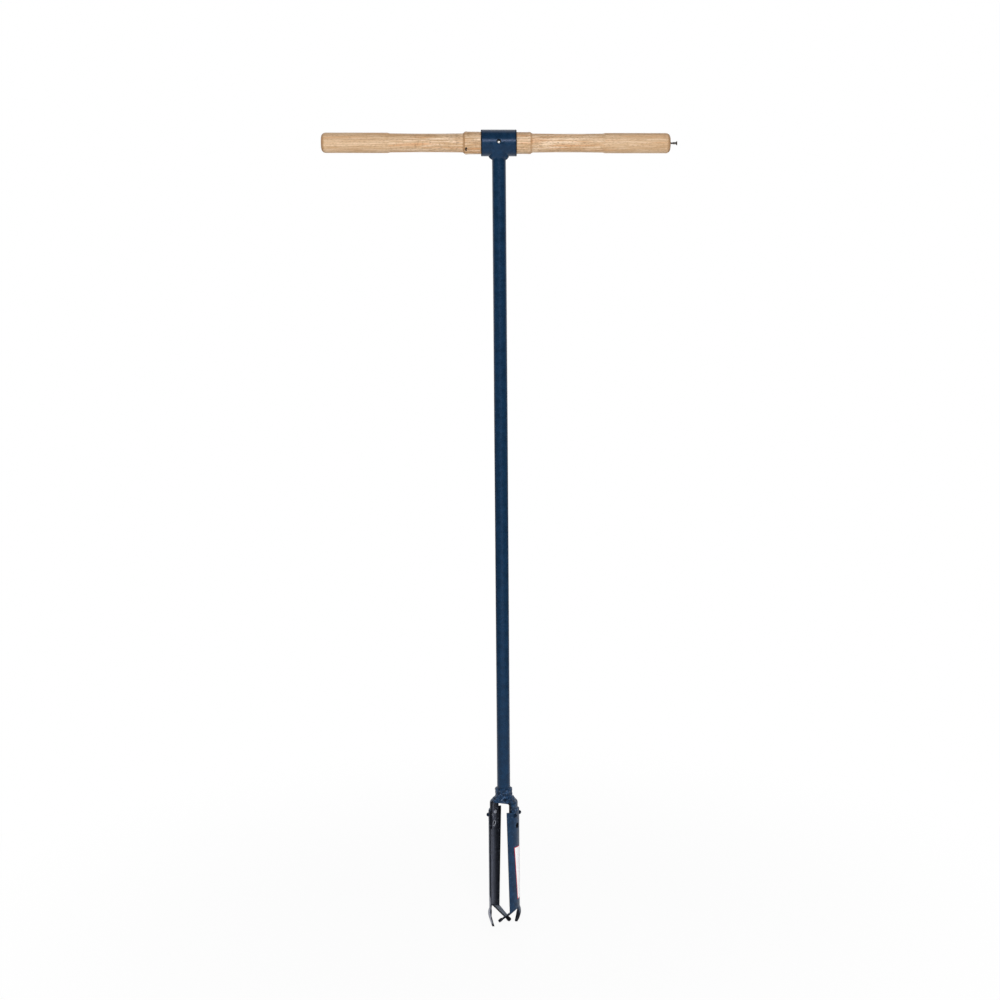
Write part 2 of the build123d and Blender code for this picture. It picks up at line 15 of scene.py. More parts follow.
import bmesh
import bpy
import numpy as np
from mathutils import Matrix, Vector

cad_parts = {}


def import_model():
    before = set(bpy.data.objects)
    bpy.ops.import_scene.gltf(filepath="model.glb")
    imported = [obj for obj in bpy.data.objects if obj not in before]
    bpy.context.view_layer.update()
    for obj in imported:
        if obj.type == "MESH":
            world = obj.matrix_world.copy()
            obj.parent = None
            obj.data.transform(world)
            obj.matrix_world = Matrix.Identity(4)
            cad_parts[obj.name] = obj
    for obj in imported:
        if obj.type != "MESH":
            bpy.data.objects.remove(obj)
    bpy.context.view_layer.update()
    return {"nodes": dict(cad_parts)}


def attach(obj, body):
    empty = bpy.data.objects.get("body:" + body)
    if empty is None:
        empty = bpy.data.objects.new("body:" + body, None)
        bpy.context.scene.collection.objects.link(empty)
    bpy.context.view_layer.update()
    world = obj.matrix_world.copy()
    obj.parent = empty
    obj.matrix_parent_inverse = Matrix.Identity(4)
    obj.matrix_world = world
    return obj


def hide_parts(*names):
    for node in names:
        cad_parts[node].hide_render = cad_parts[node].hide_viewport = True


Triple = tuple[float, float, float]
Rgba = tuple[float, float, float, float]
Span = tuple[float, float]
Array = np.ndarray
Material = bpy.types.Material
Node = bpy.types.Node
NodeTree = bpy.types.NodeTree

LOG = logging.getLogger("auger")
MM = 0.001
FULL_TURN = 2.0 * math.pi
SIDEWAYS: Triple = (1.0, 0.0, 0.0)
BACKWARDS: Triple = (0.0, 1.0, 0.0)
FORWARDS: Triple = (0.0, -1.0, 0.0)
UPWARDS: Triple = (0.0, 0.0, 1.0)
LEVEL: Triple = (1.0, 1.0, 0.0)

HANDLE_AXIS = 1325.1 * MM
TO_HANDLE: Triple = (0.0, 0.0, -HANDLE_AXIS)
SHAFT_RADIUS = 11.1 * MM
LABEL_WIDTH = 17.5 * MM
LABEL_HEIGHT = 94.8 * MM
TOE_SINK = 0.1 * MM
PAINT_GLOSS = 0.3
GLOSS_TINT: Rgba = (0.57, 0.66, 0.95, 1.0)
WAVE_COUNTS = np.array((2.0, 5.0, 9.0, 14.0))
WAVE_SHARES = np.array((0.40, 0.30, 0.18, 0.12))
LUMP_WAVES = 16
LUMP_COUNTS = (3, 24)
LUMP_RATE = 1300.0
LUMP_GAIN = 2.4
POLE_REACH = 1e-7


class Side(Enum):
    """The two blades of the digging head, by the way their middles face, in degrees."""

    FRONT = -22.0
    REAR = 158.0

    @property
    def word(self) -> str:
        """Name of the side as the nodes spell it."""
        return self.name.lower()

    @property
    def turn(self) -> float:
        """Way the blade's middle faces, in radians."""
        return math.radians(self.value)


class Body(Enum):
    """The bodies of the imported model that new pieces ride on."""

    AUGER = "auger"
    SCREW = "screw"


def linear(*screen: int) -> Rgba:
    """Turn a screen colour of 0 to 255 into the linear colour that the shader wants."""
    part = np.array(screen) / 255.0
    return (*np.where(part <= 0.04045, part / 12.92, ((part + 0.055) / 1.055) ** 2.4).tolist(), 1.0)


def ring_turns(count: int) -> Array:
    """Angles of that many equal steps round a full turn, in radians."""
    return np.linspace(0.0, FULL_TURN, count, endpoint=False)


def pairs(first: Array | float, second: Array | float) -> Array:
    """Put two arrays that fit each other side by side along a last axis."""
    return np.stack(np.broadcast_arrays(first, second), axis=-1)


def polar(radius: Array, turn: Array, height: Array | float) -> Array:
    """Turn radius, angle and height round the shaft's axis into points."""
    return np.stack(np.broadcast_arrays(radius * np.cos(turn), radius * np.sin(turn), height), axis=-1)


def smooth_step(low: float, high: float, value: Array) -> Array:
    """Ease from 0 below low to 1 above high with the cubic 3t² − 2t³."""
    part = np.clip((value - low) / (high - low), 0.0, 1.0)
    return part * part * (3.0 - 2.0 * part)


def hand_wave(turn: Array, seed: int) -> Array:
    """Unsteadiness of a hand along a closed seam: four sine waves of whole numbers of turns."""
    phases = np.random.default_rng(seed).uniform(0.0, FULL_TURN, 4)
    return (np.sin(turn[..., None] * WAVE_COUNTS + phases) * WAVE_SHARES).sum(axis=-1)


def lump_field(turn: Array, along: Array, seed: int) -> Array:
    """Lumps of thick paint and spatter round an axis.

    The field is the mean of 16 waves, each the sine of a whole count times the angle plus a rate times
    the distance along the surface plus a phase, scaled so that it lies between about −1 and 1.

    Args:
        turn: Angle round the axis in radians.
        along: Distance along the surface in metres, of a shape that fits the angles.
        seed: Number that fixes counts, rates and phases.

    Returns:
        The field, which closes on itself after a full turn.
    """
    draw = np.random.default_rng(seed)
    counts = draw.integers(*LUMP_COUNTS, LUMP_WAVES)
    rates = draw.uniform(-LUMP_RATE, LUMP_RATE, LUMP_WAVES)
    phases = draw.uniform(0.0, FULL_TURN, LUMP_WAVES)
    waves = np.sin(turn[..., None] * counts + along[..., None] * rates + phases)
    return np.clip(LUMP_GAIN * waves.mean(axis=-1), -1.0, 1.0)


@dataclass
class SurfaceGrid:
    """A surface as a grid of points whose rows are closed, and its columns too if they are meant to be."""

    points: Array
    rows_closed: bool = False

    def quads(self) -> Array:
        """Index the four corners of each cell.

        Returns:
            Four point numbers for each cell.
        """
        rows, columns = self.points.shape[:2]
        index = np.arange(rows * columns).reshape(rows, columns)
        if self.rows_closed:
            index = np.vstack((index, index[:1]))
        index = np.hstack((index, index[:, :1]))
        corners = (index[:-1, :-1], index[1:, :-1], index[1:, 1:], index[:-1, 1:])
        return np.stack(corners, axis=-1).reshape(-1, 4)

    def to_object(
        self, name: str, material: Material, uv: Array | None = None, fold: float = 40.0
    ) -> bpy.types.Object:
        """Put the grid into a mesh, merge its poles and turn its faces outwards.

        Args:
            name: Name of the new piece.
            material: Finish of the piece.
            uv: Optional pair of surface coordinates for each grid point.
            fold: Angle in degrees above which an edge is shaded sharp.

        Returns:
            The new object, linked to the scene.
        """
        mesh = bpy.data.meshes.new(name)
        mesh.from_pydata(self.points.reshape(-1, 3).tolist(), [], self.quads().tolist())
        if uv is not None:
            layer = mesh.uv_layers.new(name="UVMap")
            corner_points = np.zeros(len(mesh.loops), np.int32)
            mesh.loops.foreach_get("vertex_index", corner_points)
            layer.data.foreach_set("uv", uv.reshape(-1, 2)[corner_points].astype(np.float32).ravel())
        shell = bmesh.new()
        shell.from_mesh(mesh)
        bmesh.ops.remove_doubles(shell, verts=shell.verts, dist=POLE_REACH)
        bmesh.ops.recalc_face_normals(shell, faces=shell.faces)
        shell.to_mesh(mesh)
        shell.free()
        mesh.polygons.foreach_set("use_smooth", np.ones(len(mesh.polygons), bool))
        mesh.set_sharp_from_angle(angle=math.radians(fold))
        mesh.materials.append(material)
        piece = bpy.data.objects.new(name, mesh)
        bpy.context.scene.collection.objects.link(piece)
        return piece


def work(kind: str, operation: str, output: str | int = 0) -> Callable[..., Field]:
    """Make a method that adds a Math or Vector Math node of one operation to a field."""

    def method(field: Field, *others: Field | Triple | float) -> Field:
        """Work out the operation."""
        return field.sketch.field(output, kind, {"operation": operation}, field, *others)

    return method


class Field:
    """A number, vector, colour or shader that a node puts out.

    Each sign of arithmetic and each method adds the node that works out its result.
    """

    __add__ = work("Math", "ADD")
    __sub__ = work("Math", "SUBTRACT")
    __mul__ = work("Math", "MULTIPLY")
    __truediv__ = work("Math", "DIVIDE")
    __abs__ = work("Math", "ABSOLUTE")
    most = work("Math", "MAXIMUM")
    least = work("Math", "MINIMUM")
    dot = work("VectorMath", "DOT_PRODUCT", "Value")
    length = work("VectorMath", "LENGTH", "Value")
    distance = work("VectorMath", "DISTANCE", "Value")
    moved = work("VectorMath", "ADD", "Vector")
    scaled = work("VectorMath", "MULTIPLY", "Vector")

    def __init__(self, sketch: NodeSketch, socket: bpy.types.NodeSocket) -> None:
        """Keep the output socket and the sketch that it belongs to."""
        self.sketch = sketch
        self.socket = socket

    def rest(self) -> Field:
        """Give what is left to one."""
        return self.sketch.math("SUBTRACT", 1.0, self)

    def hypot(self, other: Field) -> Field:
        """Give the distance that two numbers square to each other make."""
        return self.sketch.math("SQRT", self * self + other * other)

    def ramp(self, low: float, high: float, start: float = 0.0, end: float = 1.0) -> Field:
        """Go smoothly from start at low to end at high, and hold the value beyond both."""
        options = {"interpolation_type": "SMOOTHSTEP"}
        return self.sketch.field("Result", "MapRange", options, self, low, high, start, end)

    def fall(self, low: float, high: float) -> Field:
        """Mask what lies below low, with an edge that is gone at high."""
        return self.ramp(low, high, 1.0, 0.0)

    def mix(self, first: Field | Rgba, second: Field | Rgba) -> Field:
        """Mix two colours, with this mask as the second one's share."""
        # The node's sockets for plain numbers and vectors stand before those for colours.
        unused, colour_result = (None,) * 5, 2
        return self.sketch.field(colour_result, "Mix", {"data_type": "RGBA"}, self, *unused, first, second)

    def level(self, turn: float) -> tuple[Field, Field]:
        """Give how far a place lies along a level angle and square to it."""
        sine, cosine = math.sin(turn), math.cos(turn)
        return self.dot((cosine, sine, 0.0)), self.dot((-sine, cosine, 0.0))

    def spot(self, middle: Triple, reach: float, solid: float = 0.6) -> Field:
        """Mask a small ball round a middle, solid for a share of its reach and gone at the reach."""
        return self.distance(middle).fall(solid * reach, reach)

    def noise(self, scale: Field | float, detail: float, roughness: float = 0.55) -> Field:
        """Read a noise of about 0.5 in the mean at this place, with a scale in waves per metre."""
        inputs = {"Scale": scale, "Detail": detail, "Roughness": roughness}
        return self.sketch.field("Fac", "TexNoise", {}, Vector=self, **inputs)

    def fibres(self, along: float, across: float, detail: float = 2.0) -> Field:
        """Read a noise drawn out along X, by its waves per metre along and across."""
        return self.scaled((along, across, across)).noise(1.0, detail)


class NodeSketch:
    """Short hand for drawing a shader node tree."""

    def __init__(self, tree: NodeTree) -> None:
        """Start with an empty tree."""
        self.tree = tree
        tree.nodes.clear()

    def fill(self, node: Node, inputs: dict[str | int, object]) -> Node:
        """Give inputs of a node links or plain values.

        Args:
            node: Node to fill.
            inputs: Fields or values by input number, or by name with underscores for spaces.

        Returns:
            The same node.
        """
        for place, value in inputs.items():
            socket = node.inputs[place.replace("_", " ") if isinstance(place, str) else place]
            if isinstance(value, Field):
                self.tree.links.new(value.socket, socket)
            elif value is not None:
                socket.default_value = value
        return node

    def node(self, kind: str, options: dict[str, object], *values: object, **inputs: object) -> Node:
        """Add a shader node with its options and fill its inputs.

        Args:
            kind: End of Blender's name of the node type, after ShaderNode.
            options: The node's own settings.
            *values: Fields or values for the first inputs, with None for one that is left alone.
            **inputs: Fields or values by input name.

        Returns:
            The new node.
        """
        made = self.tree.nodes.new("ShaderNode" + kind)
        for name, value in options.items():
            setattr(made, name, value)
        return self.fill(made, {**dict(enumerate(values)), **inputs})

    def field(self, output: str | int, kind: str, *values: object, **inputs: object) -> Field:
        """Add a node and take one of its outputs, by name or number."""
        return Field(self, self.node(kind, *values, **inputs).outputs[output])

    def fields(self, node: Node) -> dict[str, Field]:
        """Give all outputs of a node by name."""
        return {socket.name: Field(self, socket) for socket in node.outputs}

    def math(self, operation: str, *terms: Field | float) -> Field:
        """Add a Math node."""
        return self.field(0, "Math", {"operation": operation}, *terms)

    def vector(self, operation: str, output: str, *terms: Field | Triple) -> Field:
        """Add a Vector Math node and take its vector or its value."""
        return self.field(output, "VectorMath", {"operation": operation}, *terms)

    def rays(self) -> tuple[Field, Field]:
        """Mask the rays that the camera sees by, and those of reflections."""
        path = self.fields(self.node("LightPath", {}))
        return path["Is Camera Ray"].most(path["Is Transmission Ray"]), path["Is Glossy Ray"]


class GroupDraft(NodeSketch):
    """A shader node group while it is drawn, with the fields that it is given."""

    kinds = {"Vector": "Vector", "Normal": "Vector", "Colour": "Color"}

    def __init__(self, name: str, inputs: str, outputs: str) -> None:
        """Make the group with its sockets, which hold numbers unless their names say otherwise.

        Args:
            name: Name of the group.
            inputs: Names of the inputs with spaces between them.
            outputs: Names of the outputs with spaces between them.
        """
        super().__init__(bpy.data.node_groups.new(name, "ShaderNodeTree"))
        for way, labels in (("INPUT", inputs), ("OUTPUT", outputs)):
            for label in labels.split():
                kind = "NodeSocket" + self.kinds.get(label, "Float")
                self.tree.interface.new_socket(name=label, in_out=way, socket_type=kind)
        self.given = self.fields(self.tree.nodes.new("NodeGroupInput"))

    def close(self, **results: Field) -> NodeTree:
        """Feed the group's outputs by name and hand over its tree."""
        self.fill(self.tree.nodes.new("NodeGroupOutput"), results)
        return self.tree


class EffectGroups:
    """The surface effects that several finishes share, each one a node group."""

    patch_span: Span = (0.28, 0.72)
    patch_rough: float = 0.06
    peel_rough: float = 0.25
    patch_height: float = 0.6
    facing_span: Span = (0.68, 0.86)
    trailing_span: Span = (0.5, 0.7)
    top_span: Span = (0.3, 0.6)
    fleck_soft: float = 0.06
    flush_height: float = 182.25 * MM
    flush_turn: float = math.radians(8.0)
    half_stagger: float = 1.75 * MM
    pith: Triple = (0.0, -0.035, 0.115)
    pith_stretch: Triple = (0.03, 1.0, 1.0)
    ring_start: Span = (0.0, 0.08)
    early_power: float = 3.0
    pore_span: Span = (0.5, 0.66)
    ring_pores: float = 0.4
    fibre_tone: float = 0.7
    tone_span: Span = (0.38, 0.62)
    fibre_height: float = 0.3

    def __init__(self) -> None:
        """Build every group once."""
        self.film = self.paint_film()
        self.sides = self.side_sorter()
        self.place = self.head_place()
        self.flecks = self.fleck_mask()
        self.figure = self.wood_figure()

    def paint_film(self) -> NodeTree:
        """Brushed and dipped paint: patches of thicker and thinner colour over a fine orange peel.

        Returns:
            The group, with a colour, a roughness and a height.
        """
        inputs = "Vector Colour Mottle Patch Peel Roughness"
        draft = GroupDraft("paint_film", inputs, "Colour Roughness Height")
        given = draft.given
        patches = given["Vector"].noise(given["Patch"], detail=4.0, roughness=0.6)
        peel = given["Vector"].noise(given["Peel"], detail=2.0, roughness=0.5)
        swing = patches.ramp(*self.patch_span, -1.0, 1.0)
        colour = given["Colour"].scaled(swing * given["Mottle"] + 1.0)
        rough = given["Roughness"] + swing * self.patch_rough + (peel - 0.5) * self.peel_rough
        height = patches * self.patch_height + peel * (1.0 - self.patch_height)
        return draft.close(Colour=colour, Roughness=rough, Height=height)

    def side_sorter(self) -> NodeTree:
        """Tell the outside of the round digging head from its inside and its cut edges.

        The surface normal is compared with the level direction away from the shaft's axis. An edge that
        faces round the axis, anticlockwise from above, is a trailing one. Top is the outside's share in
        upward faces.

        Returns:
            The group, with masks for the outside, the inside and the trailing edges.
        """
        draft = GroupDraft("side_sorter", "Vector Normal Top", "Outside Inside Trailing")
        normal = draft.given["Normal"]
        away = draft.vector("NORMALIZE", "Vector", draft.given["Vector"].scaled(LEVEL))
        ahead = draft.vector("CROSS_PRODUCT", "Vector", UPWARDS, away)
        trailing = normal.dot(ahead).ramp(*self.trailing_span)
        facing = normal.dot(away)
        top = normal.dot(UPWARDS).ramp(*self.top_span) * draft.given["Top"]
        outside = facing.ramp(*self.facing_span).most(top)
        inside = (facing * -1.0).ramp(*self.facing_span)
        return draft.close(Outside=outside, Inside=inside, Trailing=trailing)

    def head_place(self) -> NodeTree:
        """Find where a point lies on the digging head, counted in the same way on both blades.

        The turn is the sine of the angle from the blade's centre line, positive towards its trailing
        edge. From the axis of the blade's flush rivet, the distance is measured round the head and up.

        Returns:
            The group, with the distance from the shaft's axis, the turn, the height, the distance from
            the flush rivet's axis and a mask of the front half.
        """
        draft = GroupDraft("head_place", "Vector", "Reach Turn Height Flush Front")
        place = draft.given["Vector"]
        ahead, aside = place.level(Side.FRONT.turn)
        side = draft.math("SIGN", ahead)
        reach = place.scaled(LEVEL).length()
        turn = aside / reach * side
        height = place.dot(UPWARDS)
        above = height - (side * self.half_stagger + self.flush_height)
        flush = above.hypot((turn + math.sin(self.flush_turn)) * reach)
        return draft.close(Reach=reach, Turn=turn, Height=height, Flush=flush, Front=side.most(0.0))

    def fleck_mask(self) -> NodeTree:
        """Small marks where a fine noise tops a limit: rubs, dust, bare specks and painted highlights.

        Returns:
            The group, with one mask.
        """
        draft = GroupDraft("fleck_mask", "Vector Scale Limit", "Mask")
        grain = draft.given["Vector"].noise(draft.given["Scale"], detail=5.0, roughness=0.65)
        return draft.close(Mask=(grain - draft.given["Limit"]).ramp(0.0, self.fleck_soft))

    def wood_figure(self) -> NodeTree:
        """Growth rings, pores and fibres of ring-porous wood along the X axis.

        A ring is the fraction of the distance from a far pith, warped slowly along the grain; the
        early wood darkens each ring's start, and pores, fibres and streaks are noise drawn out along X.

        Returns:
            The group, with masks for rings, pores and warm streaks, a tone and a height.
        """
        draft = GroupDraft("wood_figure", "Vector Pitch Warp", "Ring Pore Streak Tone Height")
        place = draft.given["Vector"]
        warp = (place.fibres(along=2.2, across=22.0) - 0.5) * draft.given["Warp"]
        reach = place.moved(self.pith).scaled(self.pith_stretch).length()
        part = draft.math("FRACT", (reach + warp) / draft.given["Pitch"])
        ring = draft.math("POWER", part.rest(), self.early_power) * part.ramp(*self.ring_start)
        pore = place.fibres(along=260.0, across=760.0).ramp(*self.pore_span)
        pore = pore * (ring * self.ring_pores + (1.0 - self.ring_pores))
        fibre = place.fibres(along=32.0, across=430.0, detail=4.0)
        tone = fibre * self.fibre_tone + place.fibres(along=3.0, across=60.0) * (1.0 - self.fibre_tone)
        tone = tone.ramp(*self.tone_span)
        streak = place.fibres(along=9.0, across=240.0, detail=3.0).ramp(*self.pore_span)
        height = fibre * self.fibre_height - pore
        return draft.close(Ring=ring, Pore=pore, Streak=streak, Tone=tone, Height=height)


@dataclass(frozen=True)
class Film:
    """How a film lies: share of uneven colour, patches and peel per metre, roughness and height."""

    mottle: float
    patch: float
    peel: float
    roughness: float
    lump: float


@dataclass
class Finish:
    """A finish: a new material with a Principled shader, its coordinates and the shared effects."""

    name: str
    groups: EffectGroups
    film: Film | None = None

    def __post_init__(self) -> None:
        """Make the material with its shader and draw the finish."""
        self.material = bpy.data.materials.new(self.name)
        self.material.use_nodes = True
        self.sketch = NodeSketch(self.material.node_tree)
        places = self.sketch.fields(self.sketch.node("TexCoord", {}))
        self.place, self.normal, self.uv = places["Object"], places["Normal"], places["UV"]
        self.shader = self.sketch.node("BsdfPrincipled", {})
        self.sketch.node("OutputMaterial", {}, Surface=Field(self.sketch, self.shader.outputs["BSDF"]))
        self.draw()

    def draw(self) -> None:
        """Draw the finish."""
        raise NotImplementedError

    def show(self, colour: Field, roughness: Field, **plain: float | Rgba) -> None:
        """Feed the shader with colour and roughness, and set its constants by name."""
        self.sketch.fill(self.shader, {"Base Color": colour, "Roughness": roughness, **plain})

    def bump(self, height: Field, lump: float) -> None:
        """Let a height of 0 to 1 tilt the surface, with the height of a full step in metres."""
        tilted = self.sketch.field("Normal", "Bump", {}, Strength=1.0, Distance=lump, Height=height)
        self.sketch.fill(self.shader, {"Normal": tilted})

    def effect(self, tree: NodeTree, **inputs: object) -> dict[str, Field]:
        """Place a shared effect on the surface and give its outputs by name."""
        made = self.sketch.node("Group", {"node_tree": tree}, Vector=self.place, **inputs)
        return self.sketch.fields(made)

    def flecks(self, scale: float, limit: float) -> Field:
        """Mask scattered marks, by their fineness and the limit of the noise that makes them."""
        return self.effect(self.groups.flecks, Scale=scale, Limit=limit)["Mask"]

    def lay(self, colour: Field | Rgba) -> tuple[Field, Field]:
        """Lay the film of a colour, which tilts the surface.

        Args:
            colour: Colour before it turns uneven.

        Returns:
            The uneven colour and the roughness.
        """
        film = self.film
        values = {"Mottle": film.mottle, "Patch": film.patch, "Peel": film.peel, "Roughness": film.roughness}
        laid = self.effect(self.groups.film, Colour=colour, **values)
        self.bump(laid["Height"], film.lump)
        return laid["Colour"], laid["Roughness"]


@dataclass
class NavyCoat(Finish):
    """Glossy navy enamel on tube and collar, dull on the collar's two rims and painted dark there as shade.

    The collar's screw hole is painted dark as shade, with a painted glint of bright steel low in
    its countersink.
    """

    film: Film = Film(mottle=0.2, patch=90.0, peel=700.0, roughness=0.27, lump=0.14 * MM)
    colour: Rgba = linear(12, 41, 66)
    dust: Rgba = linear(92, 106, 124)
    # Bright steel whose white is a painted glint.
    bare: Rgba = linear(250, 249, 247)
    # Painted shade inside the screw hole.
    hollow: Rgba = linear(5, 7, 10)
    # Painted shade on the collar's two rounded rims.
    rim: Rgba = linear(5, 17, 29)
    dust_share: float = 0.14
    rim_span: Span = (26.4 * MM, 27.0 * MM)
    rim_roughness: float = 0.8
    hole_rise: float = math.radians(7.0)
    hole_span: Span = (3.5 * MM, 3.75 * MM)
    hole_front: Span = (16.5 * MM, 17.5 * MM)
    spot_drop: float = 1.3 * MM
    spot_span: Span = (1.75 * MM, 2.0 * MM)

    def draw(self) -> None:
        """Draw the enamel; the hole's axis crosses the collar's and rises a little towards the front."""
        colour, rough = self.lay(self.colour)
        colour = (self.flecks(scale=420.0, limit=0.64) * self.dust_share).mix(colour, self.dust)
        # Painted shade: the collar's two rims are darkened, and also made dull.
        rim = abs(self.place.dot(SIDEWAYS)).ramp(*self.rim_span)
        place = self.place.moved(TO_HANDLE)
        sine, cosine = math.sin(self.hole_rise), math.cos(self.hole_rise)
        aside, above = place.dot(SIDEWAYS), place.dot((0.0, sine, cosine))
        in_front = place.dot((0.0, -cosine, sine)).ramp(*self.hole_front)
        # Painted shade fills the screw hole, and a painted glint sits low in its countersink.
        within = aside.hypot(above).fall(*self.hole_span) * in_front
        spot = aside.hypot(above + self.spot_drop).fall(*self.spot_span)
        colour = within.mix(rim.mix(colour, self.rim), spot.mix(self.hollow, self.bare))
        rough = rough.most(rim * self.rim_roughness)
        self.show(colour, rough, Specular_IOR_Level=PAINT_GLOSS, Specular_Tint=GLOSS_TINT)


@dataclass
class HeadCoat(Finish):
    """Rough dipped paint of yoke and blades.

    It is navy outside and near black on cut edges. The inside is charcoal with streaks along the blade,
    with painted light and shade across it: shaded dark towards the leading edge, lit pale from the middle
    to the trailing edge, and a black rim of painted shade along each long edge. A painted sheen, a pale
    reflection, lies on the rear blade's outer face low towards its trailing edge, prong included, and on
    its low trailing cut edges. The lips are grey on their upward faces; what else shows of the prongs is
    dark.
    Spans of turn are sines of the angle from the blade's centre line.
    """

    film: Film = Film(mottle=0.33, patch=150.0, peel=650.0, roughness=0.36, lump=0.35 * MM)
    top_share: float = 0.0
    rim_share: float = 1.0
    rub_share: float = 0.2
    lip_span: Span = (21.7 * MM, 23.2 * MM)
    outside: Rgba = linear(17, 44, 69)
    # Painted shade at the inside's dark end, also the colour of its streaks; below it the lit pale end.
    inside_dark: Rgba = linear(20, 22, 27)
    inside_pale: Rgba = linear(98, 103, 120)
    edge: Rgba = linear(7, 8, 11)
    # Painted sheen: a pale reflection on the rear blade's low trailing face and cut edges.
    prong_outside: Rgba = linear(140, 142, 152)
    prong_inside: Rgba = linear(25, 30, 39)
    lip: Rgba = linear(86, 94, 106)
    # Pale flecks: rubbed paint and painted highlights.
    rub: Rgba = linear(118, 126, 138)
    pale_turn: Span = (-0.62, 0.02)
    streak_scale: Triple = (430.0, 430.0, 26.0)
    streak_span: Span = (0.4, 0.62)
    streak_share: float = 0.6
    # Painted shade: black rims on the inside along both long edges.
    leading_rim: Span = (-0.78, -0.7)
    trailing_rim: Span = (0.585, 0.625)
    worn_turn: Span = (0.42, 0.58)
    worn_height: Span = (48.0 * MM, 58.0 * MM)
    prong_height: Span = (23.0 * MM, 33.0 * MM)
    tip_height: Span = (4.0 * MM, 8.0 * MM)
    bend_height: Span = (42.0 * MM, 52.0 * MM)
    bend_turn: Span = (-0.2, -0.1)
    bend_rise: Span = (0.1, 0.3)
    lip_rise: Span = (0.15, 0.4)
    prong_turn: Span = (-0.4, -0.25)
    prong_reach: Span = (15.0 * MM, 18.0 * MM)
    swell_height: Span = (0.0, 20.0 * MM)
    swell_reach: Span = (21.0 * MM, 26.7 * MM)
    back_height: Span = (24.0 * MM, 34.0 * MM)
    back_step: float = 1.6 * MM
    arris_soft: float = 0.5 * MM
    matt: float = 0.9
    button_reach: float = 9.7 * MM
    button_turn: float = math.radians(41.2)
    button_span: Span = (4.0 * MM, 5.0 * MM)
    button_height: Span = (15.0 * MM, 18.0 * MM)

    def draw(self) -> None:
        """Draw inside, outside, cut edges, lips and thick ends, and lay the film over them."""
        where = self.effect(self.groups.place)
        sides = self.effect(self.groups.sides, Normal=self.normal, Top=self.top_share)
        turn, height, reach = where["Turn"], where["Height"], where["Reach"]
        upward = self.normal.dot(UPWARDS)
        prong = height.fall(*self.prong_height)
        front_prong = prong * where["Front"]
        rear_low = height.fall(*self.worn_height) * where["Front"].rest()

        streaks = self.place.scaled(self.streak_scale).noise(1.0, detail=4.0)
        # Painted shade: a black rim on the inside along each long edge.
        rim = turn.fall(*self.leading_rim).most(turn.ramp(*self.trailing_rim)) * self.rim_share
        # Painted light and shade: the inside is dark towards the leading edge and pale towards the trailing
        # edge.
        inside = turn.ramp(*self.pale_turn).mix(self.inside_dark, self.inside_pale)
        inside = streaks.ramp(*self.streak_span, 0.0, self.streak_share).mix(inside, self.inside_dark)
        inside = prong.mix(rim.mix(inside, self.edge), self.prong_inside)

        # Painted sheen: a pale reflection on the rear blade's outer face low towards its trailing edge.
        sheen = rear_low * turn.ramp(*self.worn_turn)
        outside = sheen.mix(self.outside, self.prong_outside)
        outside = front_prong.mix(outside, self.prong_inside)
        # Painted sheen on the rear blade's low trailing cut edges too.
        arris = sides["Trailing"] * self.outer_part(height, reach)
        edge = (arris * rear_low).mix(self.edge, self.prong_outside)
        bent = upward.ramp(*self.bend_rise) * height.fall(*self.bend_height)
        bent = bent * turn.fall(*self.bend_turn)
        colour = sides["Outside"].mix(edge, outside)
        colour = sides["Inside"].most(bent).mix(colour, inside)

        lip_face = upward.ramp(*self.lip_rise).mix(self.edge, self.lip)
        on_prong = turn.ramp(*self.prong_turn) * reach.ramp(*self.prong_reach)
        colour = (reach.fall(*self.lip_span) * on_prong.rest()).mix(colour, lip_face)
        ends = height.fall(*self.tip_height).most(self.buttons() * height.fall(*self.button_height))
        colour, rough = self.lay(ends.mix(colour, self.edge))
        # Pale flecks, partly rubbed paint and partly painted highlights.
        colour = (self.flecks(scale=300.0, limit=0.6) * self.rub_share).mix(colour, self.rub)
        rough = rough.most(front_prong.most(ends) * self.matt)
        self.show(colour, rough, Specular_IOR_Level=PAINT_GLOSS, Specular_Tint=GLOSS_TINT)

    def outer_part(self, height: Field, reach: Field) -> Field:
        """Mask a cut edge outside its middle, which swells to the prong's bulge and goes back above."""
        back = height.ramp(*self.back_height, 0.0, self.back_step)
        return (reach - height.ramp(*self.swell_height, *self.swell_reach) + back).ramp(0.0, self.arris_soft)

    def buttons(self) -> Field:
        """Mask round the thick ends of the two lips, which lie opposite each other across the axis."""
        along, aside = self.place.level(self.button_turn)
        return (abs(along) - self.button_reach).hypot(aside).fall(*self.button_span)


@dataclass
class WeldCoat(Finish):
    """The head's paint, thick over weld beads, with rubs on its lumps and painted highlights."""

    film: Film = Film(mottle=0.8, patch=220.0, peel=900.0, roughness=0.33, lump=1.5 * MM)
    colour: Rgba = linear(22, 47, 73)
    rub: Rgba = linear(104, 122, 150)
    rub_share: float = 0.45

    def draw(self) -> None:
        """Draw the paint with its rubs and painted highlights."""
        colour, rough = self.lay(self.colour)
        # Pale flecks: partly rubbed paint, partly painted highlights.
        colour = (self.flecks(scale=280.0, limit=0.56) * self.rub_share).mix(colour, self.rub)
        self.show(colour, rough, Specular_IOR_Level=PAINT_GLOSS, Specular_Tint=GLOSS_TINT)


